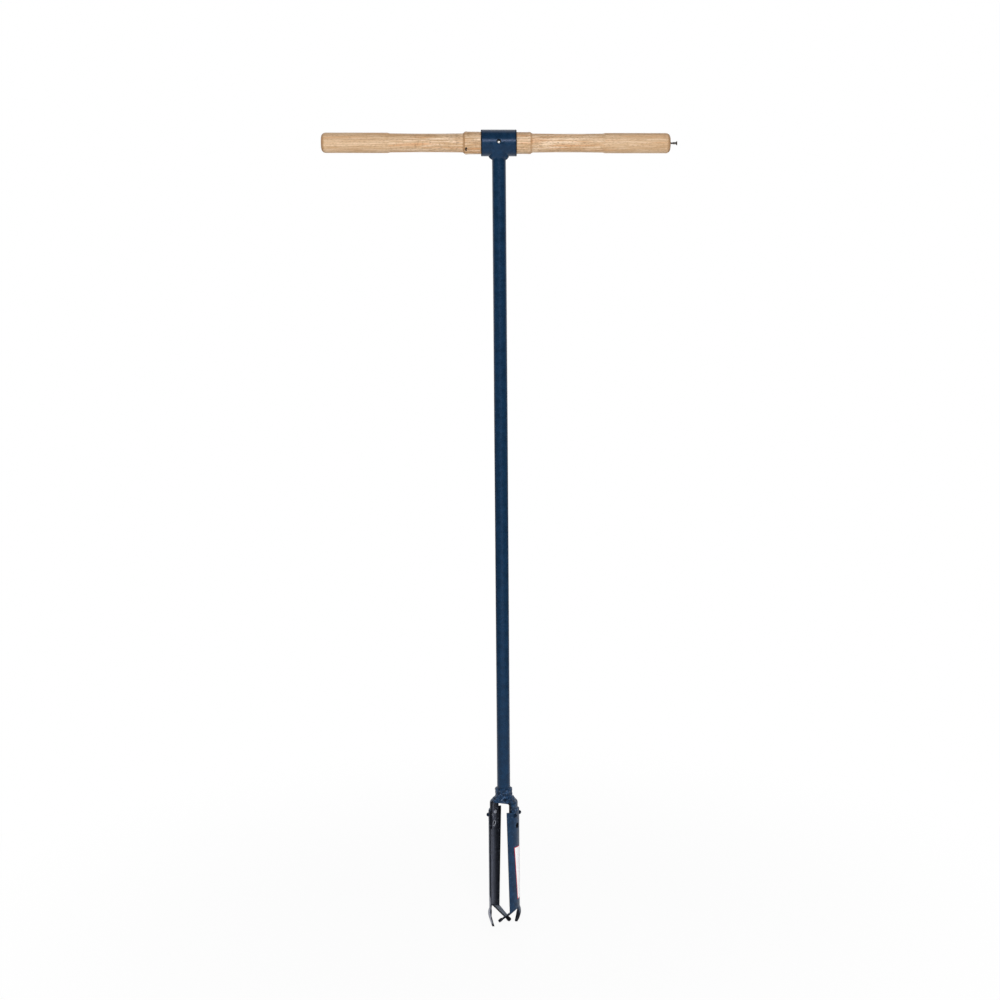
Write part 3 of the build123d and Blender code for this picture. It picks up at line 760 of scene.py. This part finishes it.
@dataclass
class RivetCoat(Finish):
    """Paint on the rivets: thick and navy on the heads outside, thin over steel on the ends inside.

    The pale steel of the ends also stands in for painted highlights. The flush rivets are sunk outside
    and hollow inside; painted shade makes their middles black, and they are dull.
    """

    film: Film = Film(mottle=0.7, patch=420.0, peel=1100.0, roughness=0.3, lump=0.3 * MM)
    head: Rgba = linear(12, 27, 43)
    # Steel, made paler in part as a painted highlight.
    end: Rgba = linear(150, 154, 164)
    # Painted shade in the flush rivets' middles.
    hollow: Rgba = linear(5, 6, 9)
    end_span: Span = (20.4 * MM, 21.2 * MM)
    hollow_radius: float = 3.3 * MM
    sunk_radius: float = 4.8 * MM
    middle_soft: float = 0.5 * MM
    middle_roughness: float = 0.95
    gloss: float = 0.12

    def draw(self) -> None:
        """Draw heads, ends and the flush rivets' middles."""
        where = self.effect(self.groups.place)
        ends = where["Reach"].fall(*self.end_span)
        from_axis = where["Flush"] + ends * (self.sunk_radius - self.hollow_radius)
        middle = from_axis.fall(self.sunk_radius - self.middle_soft, self.sunk_radius)
        # The ends' pale steel stands partly for painted highlights; the flush middles are painted shade.
        colour, rough = self.lay(middle.mix(ends.mix(self.head, self.end), self.hollow))
        rough = rough.most(middle * self.middle_roughness)
        self.show(colour, rough, Specular_IOR_Level=self.gloss, Specular_Tint=GLOSS_TINT)


@dataclass
class TurnedAsh(Finish):
    """Lacquered ash, turned on a lathe.

    Pale wood with tan early-wood lines, warm streaks and short dark pores, a shade darker on the two
    grips. Where the surface turns to the ends it drinks more lacquer and is browner; the seat's left bead
    has a torn nick. Behind the collar's hole the wood is painted dark as shade, with a pale painted glint.
    """

    pale: Rgba = linear(233, 208, 179)
    tan: Rgba = linear(193, 159, 122)
    warm: Rgba = linear(204, 146, 96)
    early: Rgba = linear(154, 116, 76)
    pore: Rgba = linear(106, 76, 45)
    end_grain: Rgba = linear(160, 119, 78)
    # Colour of the torn nick and of the painted shade behind the collar's hole.
    mark: Rgba = linear(16, 11, 8)
    # Painted glint seen low in the collar's hole.
    chip: Rgba = linear(250, 247, 240)
    ring_pitch: float = 3.4 * MM
    ring_warp: float = 10.0 * MM
    streak_share: float = 0.65
    ring_share: float = 0.7
    pore_share: float = 0.72
    grip_span: Span = (90.0 * MM, 200.0 * MM)
    grip_share: float = 0.5
    end_span: Span = (0.12, 0.75)
    end_share: float = 0.75
    nick_stretch: Triple = (1.8, 1.0, 1.0)
    nick_place: Triple = (1.8 * -52.2 * MM, -14.9 * MM, -10.0 * MM)
    nick_reach: float = 4.4 * MM
    pilot_place: Triple = (0.0, -17.4 * MM, 2.2 * MM)
    pilot_reach: float = 3.6 * MM
    chip_place: Triple = (0.0, -17.4 * MM, 1.0 * MM)
    chip_reach: float = 2.2 * MM
    mark_depth: float = 2.0
    lump: float = 0.2 * MM
    dull_to_pale: Span = (0.58, 0.46)

    def draw(self) -> None:
        """Draw the wood's figure, its darker grips and ends, and its marks, from the handle's axis."""
        self.place = place = self.place.moved(TO_HANDLE)
        figure = self.effect(self.groups.figure, Pitch=self.ring_pitch, Warp=self.ring_warp)
        colour = figure["Tone"].mix(self.tan, self.pale)
        colour = (figure["Streak"] * self.streak_share).mix(colour, self.warm)
        colour = (figure["Ring"] * self.ring_share).mix(colour, self.early)
        colour = (figure["Pore"] * self.pore_share).mix(colour, self.pore)
        grips = abs(place.dot(SIDEWAYS)).ramp(*self.grip_span, 0.0, self.grip_share)
        ends = abs(self.normal.dot(SIDEWAYS)).ramp(*self.end_span) * self.end_share
        colour = ends.mix(grips.mix(colour, self.tan), self.end_grain)
        nick = place.scaled(self.nick_stretch).spot(self.nick_place, self.nick_reach)
        # Painted shade on the wood behind the collar's hole.
        hole_shade = place.spot(self.pilot_place, self.pilot_reach)
        marks = (self.flecks(scale=430.0, limit=0.4) * nick).most(hole_shade)
        # Painted glint low in the collar's hole.
        chip = place.spot(self.chip_place, self.chip_reach)
        colour = chip.mix(marks.mix(colour, self.mark), self.chip)
        rough = figure["Tone"].ramp(0.0, 1.0, *self.dull_to_pale)
        self.bump(figure["Height"] - marks * self.mark_depth, self.lump)
        self.show(colour, rough, Specular_IOR_Level=0.25, Coat_Weight=0.06, Coat_Roughness=0.25)


@dataclass
class ScrewSteel(Finish):
    """Dull zinc-plated steel with brown wood dust in the thread."""

    film: Film = Film(mottle=0.3, patch=420.0, peel=2600.0, roughness=0.42, lump=0.03 * MM)
    bright: Rgba = linear(118, 114, 110)
    dull: Rgba = linear(52, 48, 45)

    def draw(self) -> None:
        """Draw the steel with its tarnish."""
        colour, rough = self.lay(self.bright)
        self.show(self.flecks(scale=700.0, limit=0.5).mix(colour, self.dull), rough, Metallic=0.85)


@dataclass
class LabelPaper(Finish):
    """White coated paper with a thin red line printed along its rim."""

    film: Film = Film(mottle=0.035, patch=60.0, peel=1500.0, roughness=0.4, lump=0.06 * MM)
    paper: Rgba = linear(244, 244, 245)
    line: Rgba = linear(190, 55, 75)
    line_span: Span = (-1.38 * MM, -1.22 * MM)

    def draw(self) -> None:
        """Draw the paper, and the line where the way to the nearest rim is short."""
        sheet = self.uv.scaled((LABEL_WIDTH, LABEL_HEIGHT, 0.0))
        past_side = abs(sheet.dot(SIDEWAYS) - LABEL_WIDTH / 2.0) - LABEL_WIDTH / 2.0
        past_end = abs(sheet.dot(BACKWARDS) - LABEL_HEIGHT / 2.0) - LABEL_HEIGHT / 2.0
        colour, rough = self.lay(self.paper)
        colour = past_side.most(past_end).ramp(*self.line_span).mix(colour, self.line)
        self.show(colour, rough, Specular_IOR_Level=PAINT_GLOSS)


class Finishes:
    """All finishes of the auger, drawn once and shared by its pieces."""

    yoke_film = Film(mottle=0.8, patch=230.0, peel=650.0, roughness=0.36, lump=1.5 * MM)
    yoke_shares = {"top_share": 1.0, "rim_share": 0.0, "rub_share": 0.4}
    no_lip: Span = (-2.5 * MM, -1.0 * MM)

    def __init__(self) -> None:
        """Draw every material."""
        groups = EffectGroups()
        yoke = HeadCoat("yoke_coat", groups, self.yoke_film, **self.yoke_shares, lip_span=self.no_lip)
        self.navy = NavyCoat("navy_coat", groups).material
        self.yoke = yoke.material
        self.blade = HeadCoat("blade_coat", groups).material
        self.weld = WeldCoat("weld_coat", groups).material
        self.rivet = RivetCoat("rivet_coat", groups).material
        self.ash = TurnedAsh("turned_ash", groups).material
        self.steel = ScrewSteel("screw_steel", groups).material
        self.paper = LabelPaper("label_paper", groups).material


@dataclass(frozen=True)
class WeldBead:
    """A fillet of weld metal laid by hand, with the ripples that each stop of the torch leaves.

    The bead follows a seam round the shaft's axis. At every angle its face runs from one toe to another,
    swells by a half sine wave, and carries ripples bent like stacked coins. Toes and roots are pairs of
    radius and height.
    """

    seam: str
    stops: int
    ripple: float
    swell: float
    lump: float
    seed: int
    crest_bend: float = 0.5
    sway_seed: int = 10
    steps_round: int = 260
    steps_over: int = 17

    def course(self) -> tuple[Array, Array]:
        """Give the angles along a closed seam and the hand's sway at each."""
        turn = ring_turns(self.steps_round)
        return turn, hand_wave(turn, self.seed + self.sway_seed)

    def face(self, turn: Array, first_toe: Array, last_toe: Array) -> Array:
        """Work out the bead's swollen, rippled face between its two toes.

        A point at share t is the straight mix of the toes, pushed out along the line square to them by
        (swell + ripple + lumps) · sin(πt). The ripple is |sin| of the angle times the stops, delayed by
        (2t−1)² so that its crests bend; the lumps are the lump field over angle and way across.

        Args:
            turn: Angles along the seam.
            first_toe: Toe at share 0, for each angle.
            last_toe: Toe at share 1, for each angle.

        Returns:
            Radius and height of each point, by angle and share.
        """
        share = np.linspace(0.0, 1.0, self.steps_over)
        along = last_toe - first_toe
        chord = first_toe[:, None, :] + along[:, None, :] * share[:, None]
        width = np.linalg.norm(along, axis=-1)[:, None]
        square = pairs(along[:, 1], -along[:, 0]) / width
        delay = self.crest_bend * (2.0 * share - 1.0) ** 2
        phase = turn[:, None] * self.stops / FULL_TURN + delay
        ripple = self.ripple * np.abs(np.sin(math.pi * phase))
        lumps = self.lump * lump_field(turn[:, None], width * share, self.seed)
        push = (self.swell + ripple + lumps) * np.sin(math.pi * share)
        return chord + push[..., None] * square[:, None, :]

    def wrap(self, turn: Array, face: Array, root: Array) -> Array:
        """Close each section with its hidden root and turn it into points by angle."""
        section = np.concatenate((face, root[:, None, :]), axis=1)
        return polar(section[..., 0], turn[:, None], section[..., 1])

    def ring(self, turn: Array, *corners: Array) -> SurfaceGrid:
        """Close the bead into a ring from its first toe, its last toe and its root."""
        points = self.wrap(turn, self.face(turn, *corners[:2]), corners[2])
        return SurfaceGrid(points, rows_closed=True)


@dataclass
class Assembly:
    """A sub-assembly of the auger, made from the CAD nodes and the shared finishes."""

    finishes: Finishes
    nodes: dict[str, bpy.types.Object]

    def dress(self, material: Material, *names: str) -> None:
        """Give every material slot of CAD nodes a finish.

        Args:
            material: The finish.
            *names: Names of the nodes.
        """
        for name in names:
            for slot in self.nodes[name].material_slots:
                slot.material = material
            LOG.info("dressed %s in %s", name, material.name)

    def settle(self, piece: bpy.types.Object, body: Body, slot: str, node: str) -> None:
        """Let a new piece ride on its body and stand for a CAD node.

        Args:
            piece: The new piece.
            body: Body that carries it.
            slot: Not used.
            node: CAD node that the piece replaces.
        """
        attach(piece, body.value)
        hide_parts(node)
        LOG.info("built %s with %d faces on %s", piece.name, len(piece.data.polygons), body.value)

    def lay(self, bead: WeldBead, grid: SurfaceGrid, material: Material) -> None:
        """Lay a weld bead in place of its seam's CAD node."""
        piece = grid.to_object(bead.seam + "_bead", material)
        self.settle(piece, Body.AUGER, "weld_paint", bead.seam + "_weld")


@dataclass
class CrossHandle(Assembly):
    """The turned cross handle and the screw stored in its right end."""

    right_end: float = 275.8 * MM
    screw_length: float = 32.0 * MM
    screw_proud: float = 11.2 * MM
    shank_radius: float = 1.8 * MM
    core_radius: float = 1.2 * MM
    head_radius: float = 3.4 * MM
    head_rim: float = 0.5 * MM
    point_length: float = 7.0 * MM
    thread_start: float = 0.5 * MM
    thread_end: float = 24.5 * MM
    thread_fade: float = 1.2 * MM
    thread_pitch: float = 1.9 * MM
    neck_ease: float = 0.8 * MM
    recess_length: float = 4.8 * MM
    recess_width: float = 1.0 * MM
    recess_depth: float = 1.6 * MM
    recess_soft: float = 0.14 * MM
    recess_slope: float = 0.55
    ridge_share: float = 0.5
    sharp_fold: float = 32.0
    steps_round: int = 96
    point_steps: int = 50
    run_steps: int = 140
    bend_steps: int = 8
    rim_steps: int = 5
    face_steps: int = 48

    def outline(self) -> Array:
        """Follow the plain screw from its point, over run, neck, cone and rim, to the middle of its head.

        Returns:
            Distance from the point and radius, each with one value for each row of the grid.
        """
        core, shank, head = self.core_radius, self.shank_radius, self.head_radius
        cone_end = self.screw_length - self.head_rim
        cone_start = cone_end - (head - shank)
        point = np.linspace(0.0, 1.0, self.point_steps)
        neck = np.linspace(self.thread_end, cone_start, self.bend_steps)[1:]
        ease = smooth_step(self.thread_end, self.thread_end + self.neck_ease, neck)
        rows = (
            pairs(self.point_length * point, core * np.sqrt(point)),
            np.linspace((self.point_length, core), (self.thread_end, core), self.run_steps)[1:],
            pairs(neck, core + (shank - core) * ease),
            np.linspace((cone_start, shank), (cone_end, head), self.bend_steps)[1:],
            np.linspace((cone_end, head), (self.screw_length, head), self.rim_steps)[1:],
            np.linspace((self.screw_length, head), (self.screw_length, 0.0), self.face_steps)[1:],
        )
        return np.concatenate(rows).T[..., None]

    def recess(self, level: Array, upright: Array) -> Array:
        """Depth of the cross recess in the head: two crossed slots that get deeper towards the middle.

        Args:
            level: Distance from the screw's axis along Y.
            upright: Distance from the screw's axis along Z.

        Returns:
            Depth below the head's face.
        """
        soft = self.recess_soft
        half_long, half_wide = self.recess_length / 2.0, self.recess_width / 2.0
        far = np.maximum(np.abs(level), np.abs(upright))
        near = np.minimum(np.abs(level), np.abs(upright))
        inside = 1.0 - smooth_step(half_wide - soft, half_wide + soft, near)
        inside *= 1.0 - smooth_step(half_long - soft, half_long + soft, far)
        return self.recess_depth * inside * (1.0 - self.recess_slope * (far / half_long) ** 2)

    def screw_surface(self) -> SurfaceGrid:
        """Wrap the outline round the screw's axis, with a helical thread and a cross recess.

        The thread lifts the core by a ridge whose place is the fraction of (distance ÷ pitch − turn); it
        fades in from the point and out at the neck. The recess is cut into the rows of the head's face.

        Returns:
            The screw as a closed grid.
        """
        along, radius = self.outline()
        turn = ring_turns(self.steps_round)
        part = np.mod(along / self.thread_pitch - turn / FULL_TURN, 1.0)
        ridge = np.clip(1.0 - np.abs(2.0 * part - 1.0) / self.ridge_share, 0.0, 1.0)
        fade_in = smooth_step(self.thread_start, self.point_length, along)
        fade_out = 1.0 - smooth_step(self.thread_end - self.thread_fade, self.thread_end, along)
        reach = radius + (self.shank_radius - self.core_radius) * fade_in * fade_out * ridge
        level, upright = reach * np.cos(turn), reach * np.sin(turn)
        on_face = np.isclose(along, self.screw_length)
        depth = np.where(on_face, self.recess(level, upright), 0.0)
        tip = self.right_end + self.screw_proud - self.screw_length
        return SurfaceGrid(np.stack((tip + along - depth, level, upright + HANDLE_AXIS), axis=-1))

    def build(self) -> None:
        """Dress the handle and build the stored screw."""
        self.dress(self.finishes.ash, "cross_handle")
        screw = self.screw_surface().to_object("stored_screw", self.finishes.steel, fold=self.sharp_fold)
        self.settle(screw, Body.SCREW, "screw_steel", "handle_screw")


@dataclass
class CollarJoint(Assembly):
    """The collar that holds the handle, the tube below it and the weld between them."""

    collar_radius: float = 21.1 * MM
    leg: float = 5.6 * MM
    sway_share: float = 0.12
    tuck: float = 0.3 * MM
    bead: WeldBead = WeldBead("collar", stops=34, ripple=0.4 * MM, swell=0.3 * MM, lump=0.3 * MM, seed=3)

    def collar_under(self, radius: Array | float, turn: Array) -> Array:
        """Height of the collar's underside over a point given by radius and angle round the shaft."""
        return HANDLE_AXIS - np.sqrt(self.collar_radius**2 - (radius * np.sin(turn)) ** 2)

    def weld_surface(self) -> SurfaceGrid:
        """Saddle bead: its upper toe runs on the collar's underside and its lower toe down the shaft.

        Returns:
            The bead as a closed ring.
        """
        turn, sway = self.bead.course()
        inner = SHAFT_RADIUS - TOE_SINK
        seam = self.collar_under(inner, turn)
        outer = SHAFT_RADIUS + self.leg * (1.0 + self.sway_share * sway)
        upper_toe = pairs(outer, self.collar_under(outer, turn) + TOE_SINK)
        lower_toe = pairs(inner, seam - self.leg * (1.0 - self.sway_share * sway))
        return self.bead.ring(turn, lower_toe, upper_toe, pairs(inner - self.tuck, seam + self.tuck))

    def build(self) -> None:
        """Dress collar and tube and build the weld."""
        self.dress(self.finishes.navy, "handle_collar", "shaft_tube")
        self.lay(self.bead, self.weld_surface(), self.finishes.navy)


@dataclass
class SocketJoint(Assembly):
    """The sleeve at the foot of the tube, welded to the tube above and to the yoke below."""

    sleeve_radius: float = 14.3 * MM
    sleeve_top: float = 247.0 * MM
    sleeve_rim: float = 0.9 * MM
    sleeve_gap: float = 0.1 * MM
    sleeve_lump: float = 0.7 * MM
    sleeve_seed: int = 21
    sleeve_steps: int = 240
    rim_steps: int = 7
    wall_steps: int = 44
    yoke_top: float = 226.5 * MM
    strap_half: float = 14.25 * MM
    strap_edge: Span = (13.45 * MM, 15.25 * MM)
    overhang: float = 1.6 * MM
    least_sine: float = 0.2
    edge_sway: float = 0.2 * MM
    sag: float = 2.4 * MM
    sag_sway: float = 0.2
    upper_leg: float = 1.7 * MM
    upper_sway: Span = (0.15, 0.2)
    upper_tuck: float = 0.3 * MM
    lower_leg: float = 5.5 * MM
    lower_sway: Span = (0.1, 0.12)
    lower_tuck: float = 0.5 * MM
    upper: WeldBead = WeldBead("sleeve", stops=26, ripple=0.2 * MM, swell=0.15 * MM, lump=0.2 * MM, seed=5)
    lower: WeldBead = WeldBead("yoke", stops=30, ripple=0.5 * MM, swell=0.5 * MM, lump=0.9 * MM, seed=8)

    def sleeve_surface(self) -> SurfaceGrid:
        """Sleeve under thick, lumpy paint.

        The outline goes up the bore, out over the top, round a small rim and down the wall. Every point
        of wall and rim moves out by the lump height times the lump field over angle and height.

        Returns:
            The sleeve as a closed ring.
        """
        turn = ring_turns(self.sleeve_steps)[:, None]
        bore = SHAFT_RADIUS + self.sleeve_gap
        shoulder = self.sleeve_top - self.sleeve_rim
        rim = np.linspace(math.pi / 2.0, 0.0, self.rim_steps)
        rim_radius = self.sleeve_radius - self.sleeve_rim + self.sleeve_rim * np.cos(rim)
        rim_height = shoulder + self.sleeve_rim * np.sin(rim)
        wall = np.linspace(shoulder, self.yoke_top, self.wall_steps)[1:]
        radius = np.concatenate(((bore, bore), rim_radius, np.full(wall.shape, self.sleeve_radius)))
        height = np.concatenate(((self.yoke_top, self.sleeve_top), rim_height, wall))
        loose = radius > bore
        reach = radius + self.sleeve_lump * loose * lump_field(turn, height, self.sleeve_seed)
        return SurfaceGrid(polar(reach, turn, height), rows_closed=True)

    def upper_surface(self) -> SurfaceGrid:
        """Thin ring bead that fills the corner between the tube and the sleeve's top.

        Returns:
            The bead as a closed ring.
        """
        turn, sway = self.upper.course()
        inner = np.full(turn.shape, SHAFT_RADIUS - TOE_SINK)
        outer = SHAFT_RADIUS + self.upper_leg * (1.0 + self.upper_sway[0] * sway)
        plate_toe = pairs(outer, self.sleeve_top - TOE_SINK)
        tube_toe = pairs(inner, self.sleeve_top + self.upper_leg * (1.0 - self.upper_sway[1] * sway))
        return self.upper.ring(turn, plate_toe, tube_toe, pairs(inner, self.sleeve_top - self.upper_tuck))

    def lower_surface(self) -> SurfaceGrid:
        """Heavy bead between sleeve and yoke, which hangs over the strap's long edges.

        The toe's radius is the smaller of a full leg and the strap's half width plus an overhang, divided
        by the sine of the angle from the strap; where the toe leaves the strap, it sags below its face.

        Returns:
            The bead as a closed ring.
        """
        turn, sway = self.lower.course()
        inner = self.sleeve_radius - TOE_SINK
        off_strap = np.abs(np.sin(turn - Side.FRONT.turn))
        full_leg = self.sleeve_radius + self.lower_leg * (1.0 + self.lower_sway[0] * sway)
        edge_reach = (self.strap_half + self.overhang) / np.maximum(off_strap, self.least_sine)
        outer = np.minimum(full_leg, edge_reach + self.edge_sway * sway)
        past_edge = smooth_step(*self.strap_edge, outer * off_strap)
        toe_height = self.yoke_top - TOE_SINK - self.sag * past_edge * (1.0 + self.sag_sway * sway)
        tube_toe = pairs(inner, self.yoke_top + self.lower_leg * (1.0 - self.lower_sway[1] * sway))
        root = pairs(inner - self.lower_tuck, toe_height)
        return self.lower.ring(turn, pairs(outer, toe_height), tube_toe, root)

    def build(self) -> None:
        """Build the sleeve and its two welds."""
        sleeve = self.sleeve_surface().to_object("rough_sleeve", self.finishes.weld)
        self.settle(sleeve, Body.AUGER, "navy_paint", "socket_sleeve")
        self.lay(self.upper, self.upper_surface(), self.finishes.weld)
        self.lay(self.lower, self.lower_surface(), self.finishes.weld)


@dataclass
class DiggingHead(Assembly):
    """Yoke, two blades, their rivets and the weld along each blade's top."""

    arm_radius: float = 23.8 * MM
    blade_tops: tuple[float, float] = (210.0 * MM, 206.5 * MM)
    weld_half_angle: float = math.radians(34.3)
    weld_out: float = 2.2 * MM
    weld_up: float = 3.6 * MM
    weld_sink: float = 0.05 * MM
    weld_sway: float = 0.15
    sway_turns: float = 3.0
    least_rise: float = 0.001 * MM
    first_seed: int = 11

    def weld_surface(self, side: Side, top: float, bead: WeldBead) -> SurfaceGrid:
        """Short bead on a blade's top edge against the yoke's arm, run out to nothing at both ends.

        The legs are scaled by the fourth root of 1 − s⁴, where s goes from −1 to 1 along the bead, and
        the face by the same root once more, towards the hidden corner.

        Args:
            side: Blade that the bead sits on.
            top: Height of the blade's top edge.
            bead: Ripples and swell of the bead.

        Returns:
            The bead, closed at both ends.
        """
        spot = np.linspace(-1.0, 1.0, bead.steps_round)
        turn = side.turn + spot * self.weld_half_angle
        size = np.clip(1.0 - spot**4, 0.0, 1.0) ** 0.25
        leg = size * (1.0 + self.weld_sway * hand_wave(turn * self.sway_turns, bead.seed))
        corner = np.array((self.arm_radius - self.weld_sink, top - self.weld_sink))
        plate_toe = pairs(self.arm_radius + self.weld_out * leg, corner[1])
        tube_toe = pairs(corner[0], top + self.weld_up * leg + self.least_rise)
        face = corner + (bead.face(turn, plate_toe, tube_toe) - corner) * size[:, None, None]
        return SurfaceGrid(bead.wrap(turn, face, np.broadcast_to(corner, plate_toe.shape)))

    def build(self) -> None:
        """Dress yoke, blades and rivets and build the blade welds."""
        self.dress(self.finishes.yoke, "yoke")
        for side, top in zip(Side, self.blade_tops):
            rivets = [f"{side.word}_rivet_{kind}" for kind in ("leading", "trailing", "flush")]
            self.dress(self.finishes.blade, "blade_" + side.word)
            self.dress(self.finishes.rivet, *rivets)
            seam, seed = side.word + "_blade", self.first_seed + len(side.word)
            bead = WeldBead(seam, stops=64, ripple=0.3 * MM, swell=0.35 * MM, lump=0.4 * MM, seed=seed)
            self.lay(bead, self.weld_surface(side, top, bead), self.finishes.weld)


@dataclass
class BladeLabel(Assembly):
    """The paper label wrapped round the front blade, leaning with it."""

    radius: float = 26.4 * MM
    thickness: float = 0.2 * MM
    foot: float = 52.2 * MM
    near_edge: float = math.radians(-50.0)
    lean: float = 8.0 * MM
    steps_across: int = 40
    steps_up: int = 90

    def surface(self) -> tuple[SurfaceGrid, Array]:
        """Bend a flat strip round the blade: across it goes the angle, up it the height.

        The strip's angle shifts by the lean as it comes down. Each row goes over the outer face and back
        over the inner one, and the first and last rows close to the middle of the paper.

        Returns:
            The closed sheet and its surface coordinates.
        """
        across = np.linspace(0.0, 1.0, self.steps_across)
        there_and_back = np.concatenate((across, across[::-1]))
        layer = np.repeat((0.5, -0.5), self.steps_across)
        up = np.concatenate(((0.0,), np.linspace(0.0, 1.0, self.steps_up), (1.0,)))[:, None]
        open_share = np.concatenate(((0.0,), np.ones(self.steps_up), (0.0,)))[:, None]
        middle = self.radius + self.thickness / 2.0
        radius = middle + layer * self.thickness * open_share
        angle = self.near_edge + ((1.0 - up) * self.lean + there_and_back * LABEL_WIDTH) / middle
        points = polar(radius, angle, self.foot + up * LABEL_HEIGHT)
        return SurfaceGrid(points), pairs(there_and_back, up)

    def build(self) -> None:
        """Build the label in place of its CAD node."""
        grid, uv = self.surface()
        label = grid.to_object("label_sheet", self.finishes.paper, uv)
        self.settle(label, Body.AUGER, "label_paper", "blade_label")


@dataclass(frozen=True)
class SoftBox:
    """A studio soft box: a lit rectangle turned to a point on the shaft's axis."""

    name: str
    power: float
    wide: float
    tall: float
    place: Triple
    mirrored: bool = False
    aim_height: float = 0.75
    spread: float = math.pi

    def hang(self) -> None:
        """Hang the box and turn it; a box that isn't mirrored lights matt colour only."""
        data = bpy.data.lights.new(self.name, "AREA")
        data.shape = "RECTANGLE"
        data.size = self.wide
        data.size_y = self.tall
        data.energy = self.power
        data.spread = self.spread
        lamp = bpy.data.objects.new(self.name, data)
        lamp.location = self.place
        way = Vector((0.0, 0.0, self.aim_height)) - Vector(self.place)
        lamp.rotation_euler = way.to_track_quat("-Z", "Y").to_euler()
        lamp.visible_camera = False
        lamp.visible_glossy = self.mirrored
        bpy.context.scene.collection.objects.link(lamp)
        LOG.info("hung %s", self.name)


@dataclass
class Stage:
    """A pale floor that fades into a white backdrop, a dim room in front of it, and soft boxes."""

    floor_radius: float = 9.0
    floor_height: float = -0.4 * MM
    floor_steps: tuple[int, int] = (40, 96)
    floor_colour: Rgba = linear(246, 246, 246)
    white_span: Span = (0.25, 1.1)
    near_white: float = 0.92
    set_edge: Span = (0.935, 1.265)
    room: float = 0.2
    ambient: float = 0.38
    paper_span: Span = (3.0, 7.0)
    backdrop_span: Span = (0.05, 0.4)
    boxes: tuple[SoftBox, ...] = (
        SoftBox("key_box", 62.0, 2.4, 0.75, (-0.1, -3.2, 2.52), mirrored=True),
        SoftBox("front_fill", 29.0, 1.5, 1.5, (-0.1, -3.0, 0.7)),
        SoftBox("back_fill", 22.0, 2.0, 2.0, (0.4, 3.2, 2.2)),
        SoftBox("head_fill", 0.4, 0.5, 0.5, (1.5, -1.1, 0.4), aim_height=0.1, spread=math.radians(50.0)),
    )

    def floor_material(self) -> Material:
        """Matt floor that the camera sees turn to plain white away from the object's foot.

        In reflections the floor is the white paper of the set, out to its two sides and its front.

        Returns:
            The floor's material.
        """
        material = bpy.data.materials.new("pale_floor")
        material.use_nodes = True
        sketch = NodeSketch(material.node_tree)
        place = sketch.field("Object", "TexCoord", {})
        seen, mirrored = sketch.rays()
        white = place.length().ramp(*self.white_span, self.near_white, 1.0)
        share = (white * seen + mirrored).least(1.0)
        across = abs(place.dot(SIDEWAYS)).ramp(*self.set_edge, 1.0, self.room)
        along = place.dot(FORWARDS).ramp(*self.paper_span, 1.0, self.room)
        matt = sketch.field("BSDF", "BsdfDiffuse", {}, Color=self.floor_colour)
        glow = sketch.field("Emission", "Emission", {}, Strength=across.least(along).most(seen))
        mixed = sketch.field("Shader", "MixShader", {}, share, matt, glow)
        sketch.node("OutputMaterial", {}, Surface=mixed)
        return material

    def floor(self) -> None:
        """Lay a round floor: a polar grid from its middle to its rim."""
        rings, spokes = self.floor_steps
        radius = np.linspace(0.0, 1.0, rings)[:, None] ** 2 * self.floor_radius
        points = polar(radius, ring_turns(spokes), self.floor_height)
        floor = SurfaceGrid(points).to_object("floor", self.floor_material())
        if floor.data.polygons[0].normal.z < 0.0:
            floor.data.flip_normals()
        LOG.info("laid the floor")

    def world(self) -> None:
        """Surround the object with plain ambient light.

        The camera sees the surround as white. Reflections show the white backdrop behind the object and
        the dim room before it, told apart by the way the mirrored ray goes.
        """
        world = bpy.data.worlds.new("studio_surround")
        bpy.context.scene.world = world
        world.use_nodes = True
        sketch = NodeSketch(world.node_tree)
        seen, mirrored = sketch.rays()
        behind = sketch.field("Generated", "TexCoord", {}).dot(BACKWARDS)
        backdrop = behind.ramp(*self.backdrop_span, self.room - self.ambient, 1.0 - self.ambient)
        strength = seen * (1.0 - self.ambient) + self.ambient + mirrored * backdrop
        glow = sketch.field("Background", "Background", {}, (1.0, 1.0, 1.0, 1.0), strength)
        sketch.node("OutputWorld", {}, Surface=glow)

    def build(self) -> None:
        """Lay the floor, light the surround and hang the lamps."""
        self.floor()
        self.world()
        for box in self.boxes:
            box.hang()


@dataclass
class PhotoCamera:
    """The camera at the photograph's viewing angle, found by fitting the solids to its frame."""

    place: Triple = (-0.01698, -2.98432, 1.25702)
    yaw: float = math.radians(2.87)
    pitch: float = math.radians(9.76)
    lens: float = 65.7
    sensor: float = 36.0
    shift: float = -0.0814
    view_end: float = 50.0

    def build(self) -> None:
        """Set up the camera from its place and its two angles, level, with the frame's sideways shift."""
        data = bpy.data.cameras.new("photo_camera")
        data.lens = self.lens
        data.sensor_width = self.sensor
        data.sensor_fit = "HORIZONTAL"
        data.shift_x = self.shift
        data.clip_end = self.view_end
        camera = bpy.data.objects.new("photo_camera", data)
        camera.location = self.place
        camera.rotation_euler = (math.pi / 2.0 - self.pitch, 0.0, -self.yaw)
        bpy.context.scene.collection.objects.link(camera)
        bpy.context.scene.camera = camera
        LOG.info("set up the camera")


def main() -> None:
    """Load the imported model, build and dress each sub-assembly, then light and frame the scene."""
    logging.basicConfig(level=logging.INFO, format="%(name)s: %(message)s")
    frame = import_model()
    bpy.context.scene.view_settings.view_transform = "Standard"
    PhotoCamera().build()
    finishes = Finishes()
    for assembly in (CrossHandle, CollarJoint, SocketJoint, DiggingHead, BladeLabel):
        assembly(finishes, frame["nodes"]).build()
    Stage().build()


if __name__ == "__main__":
    main()
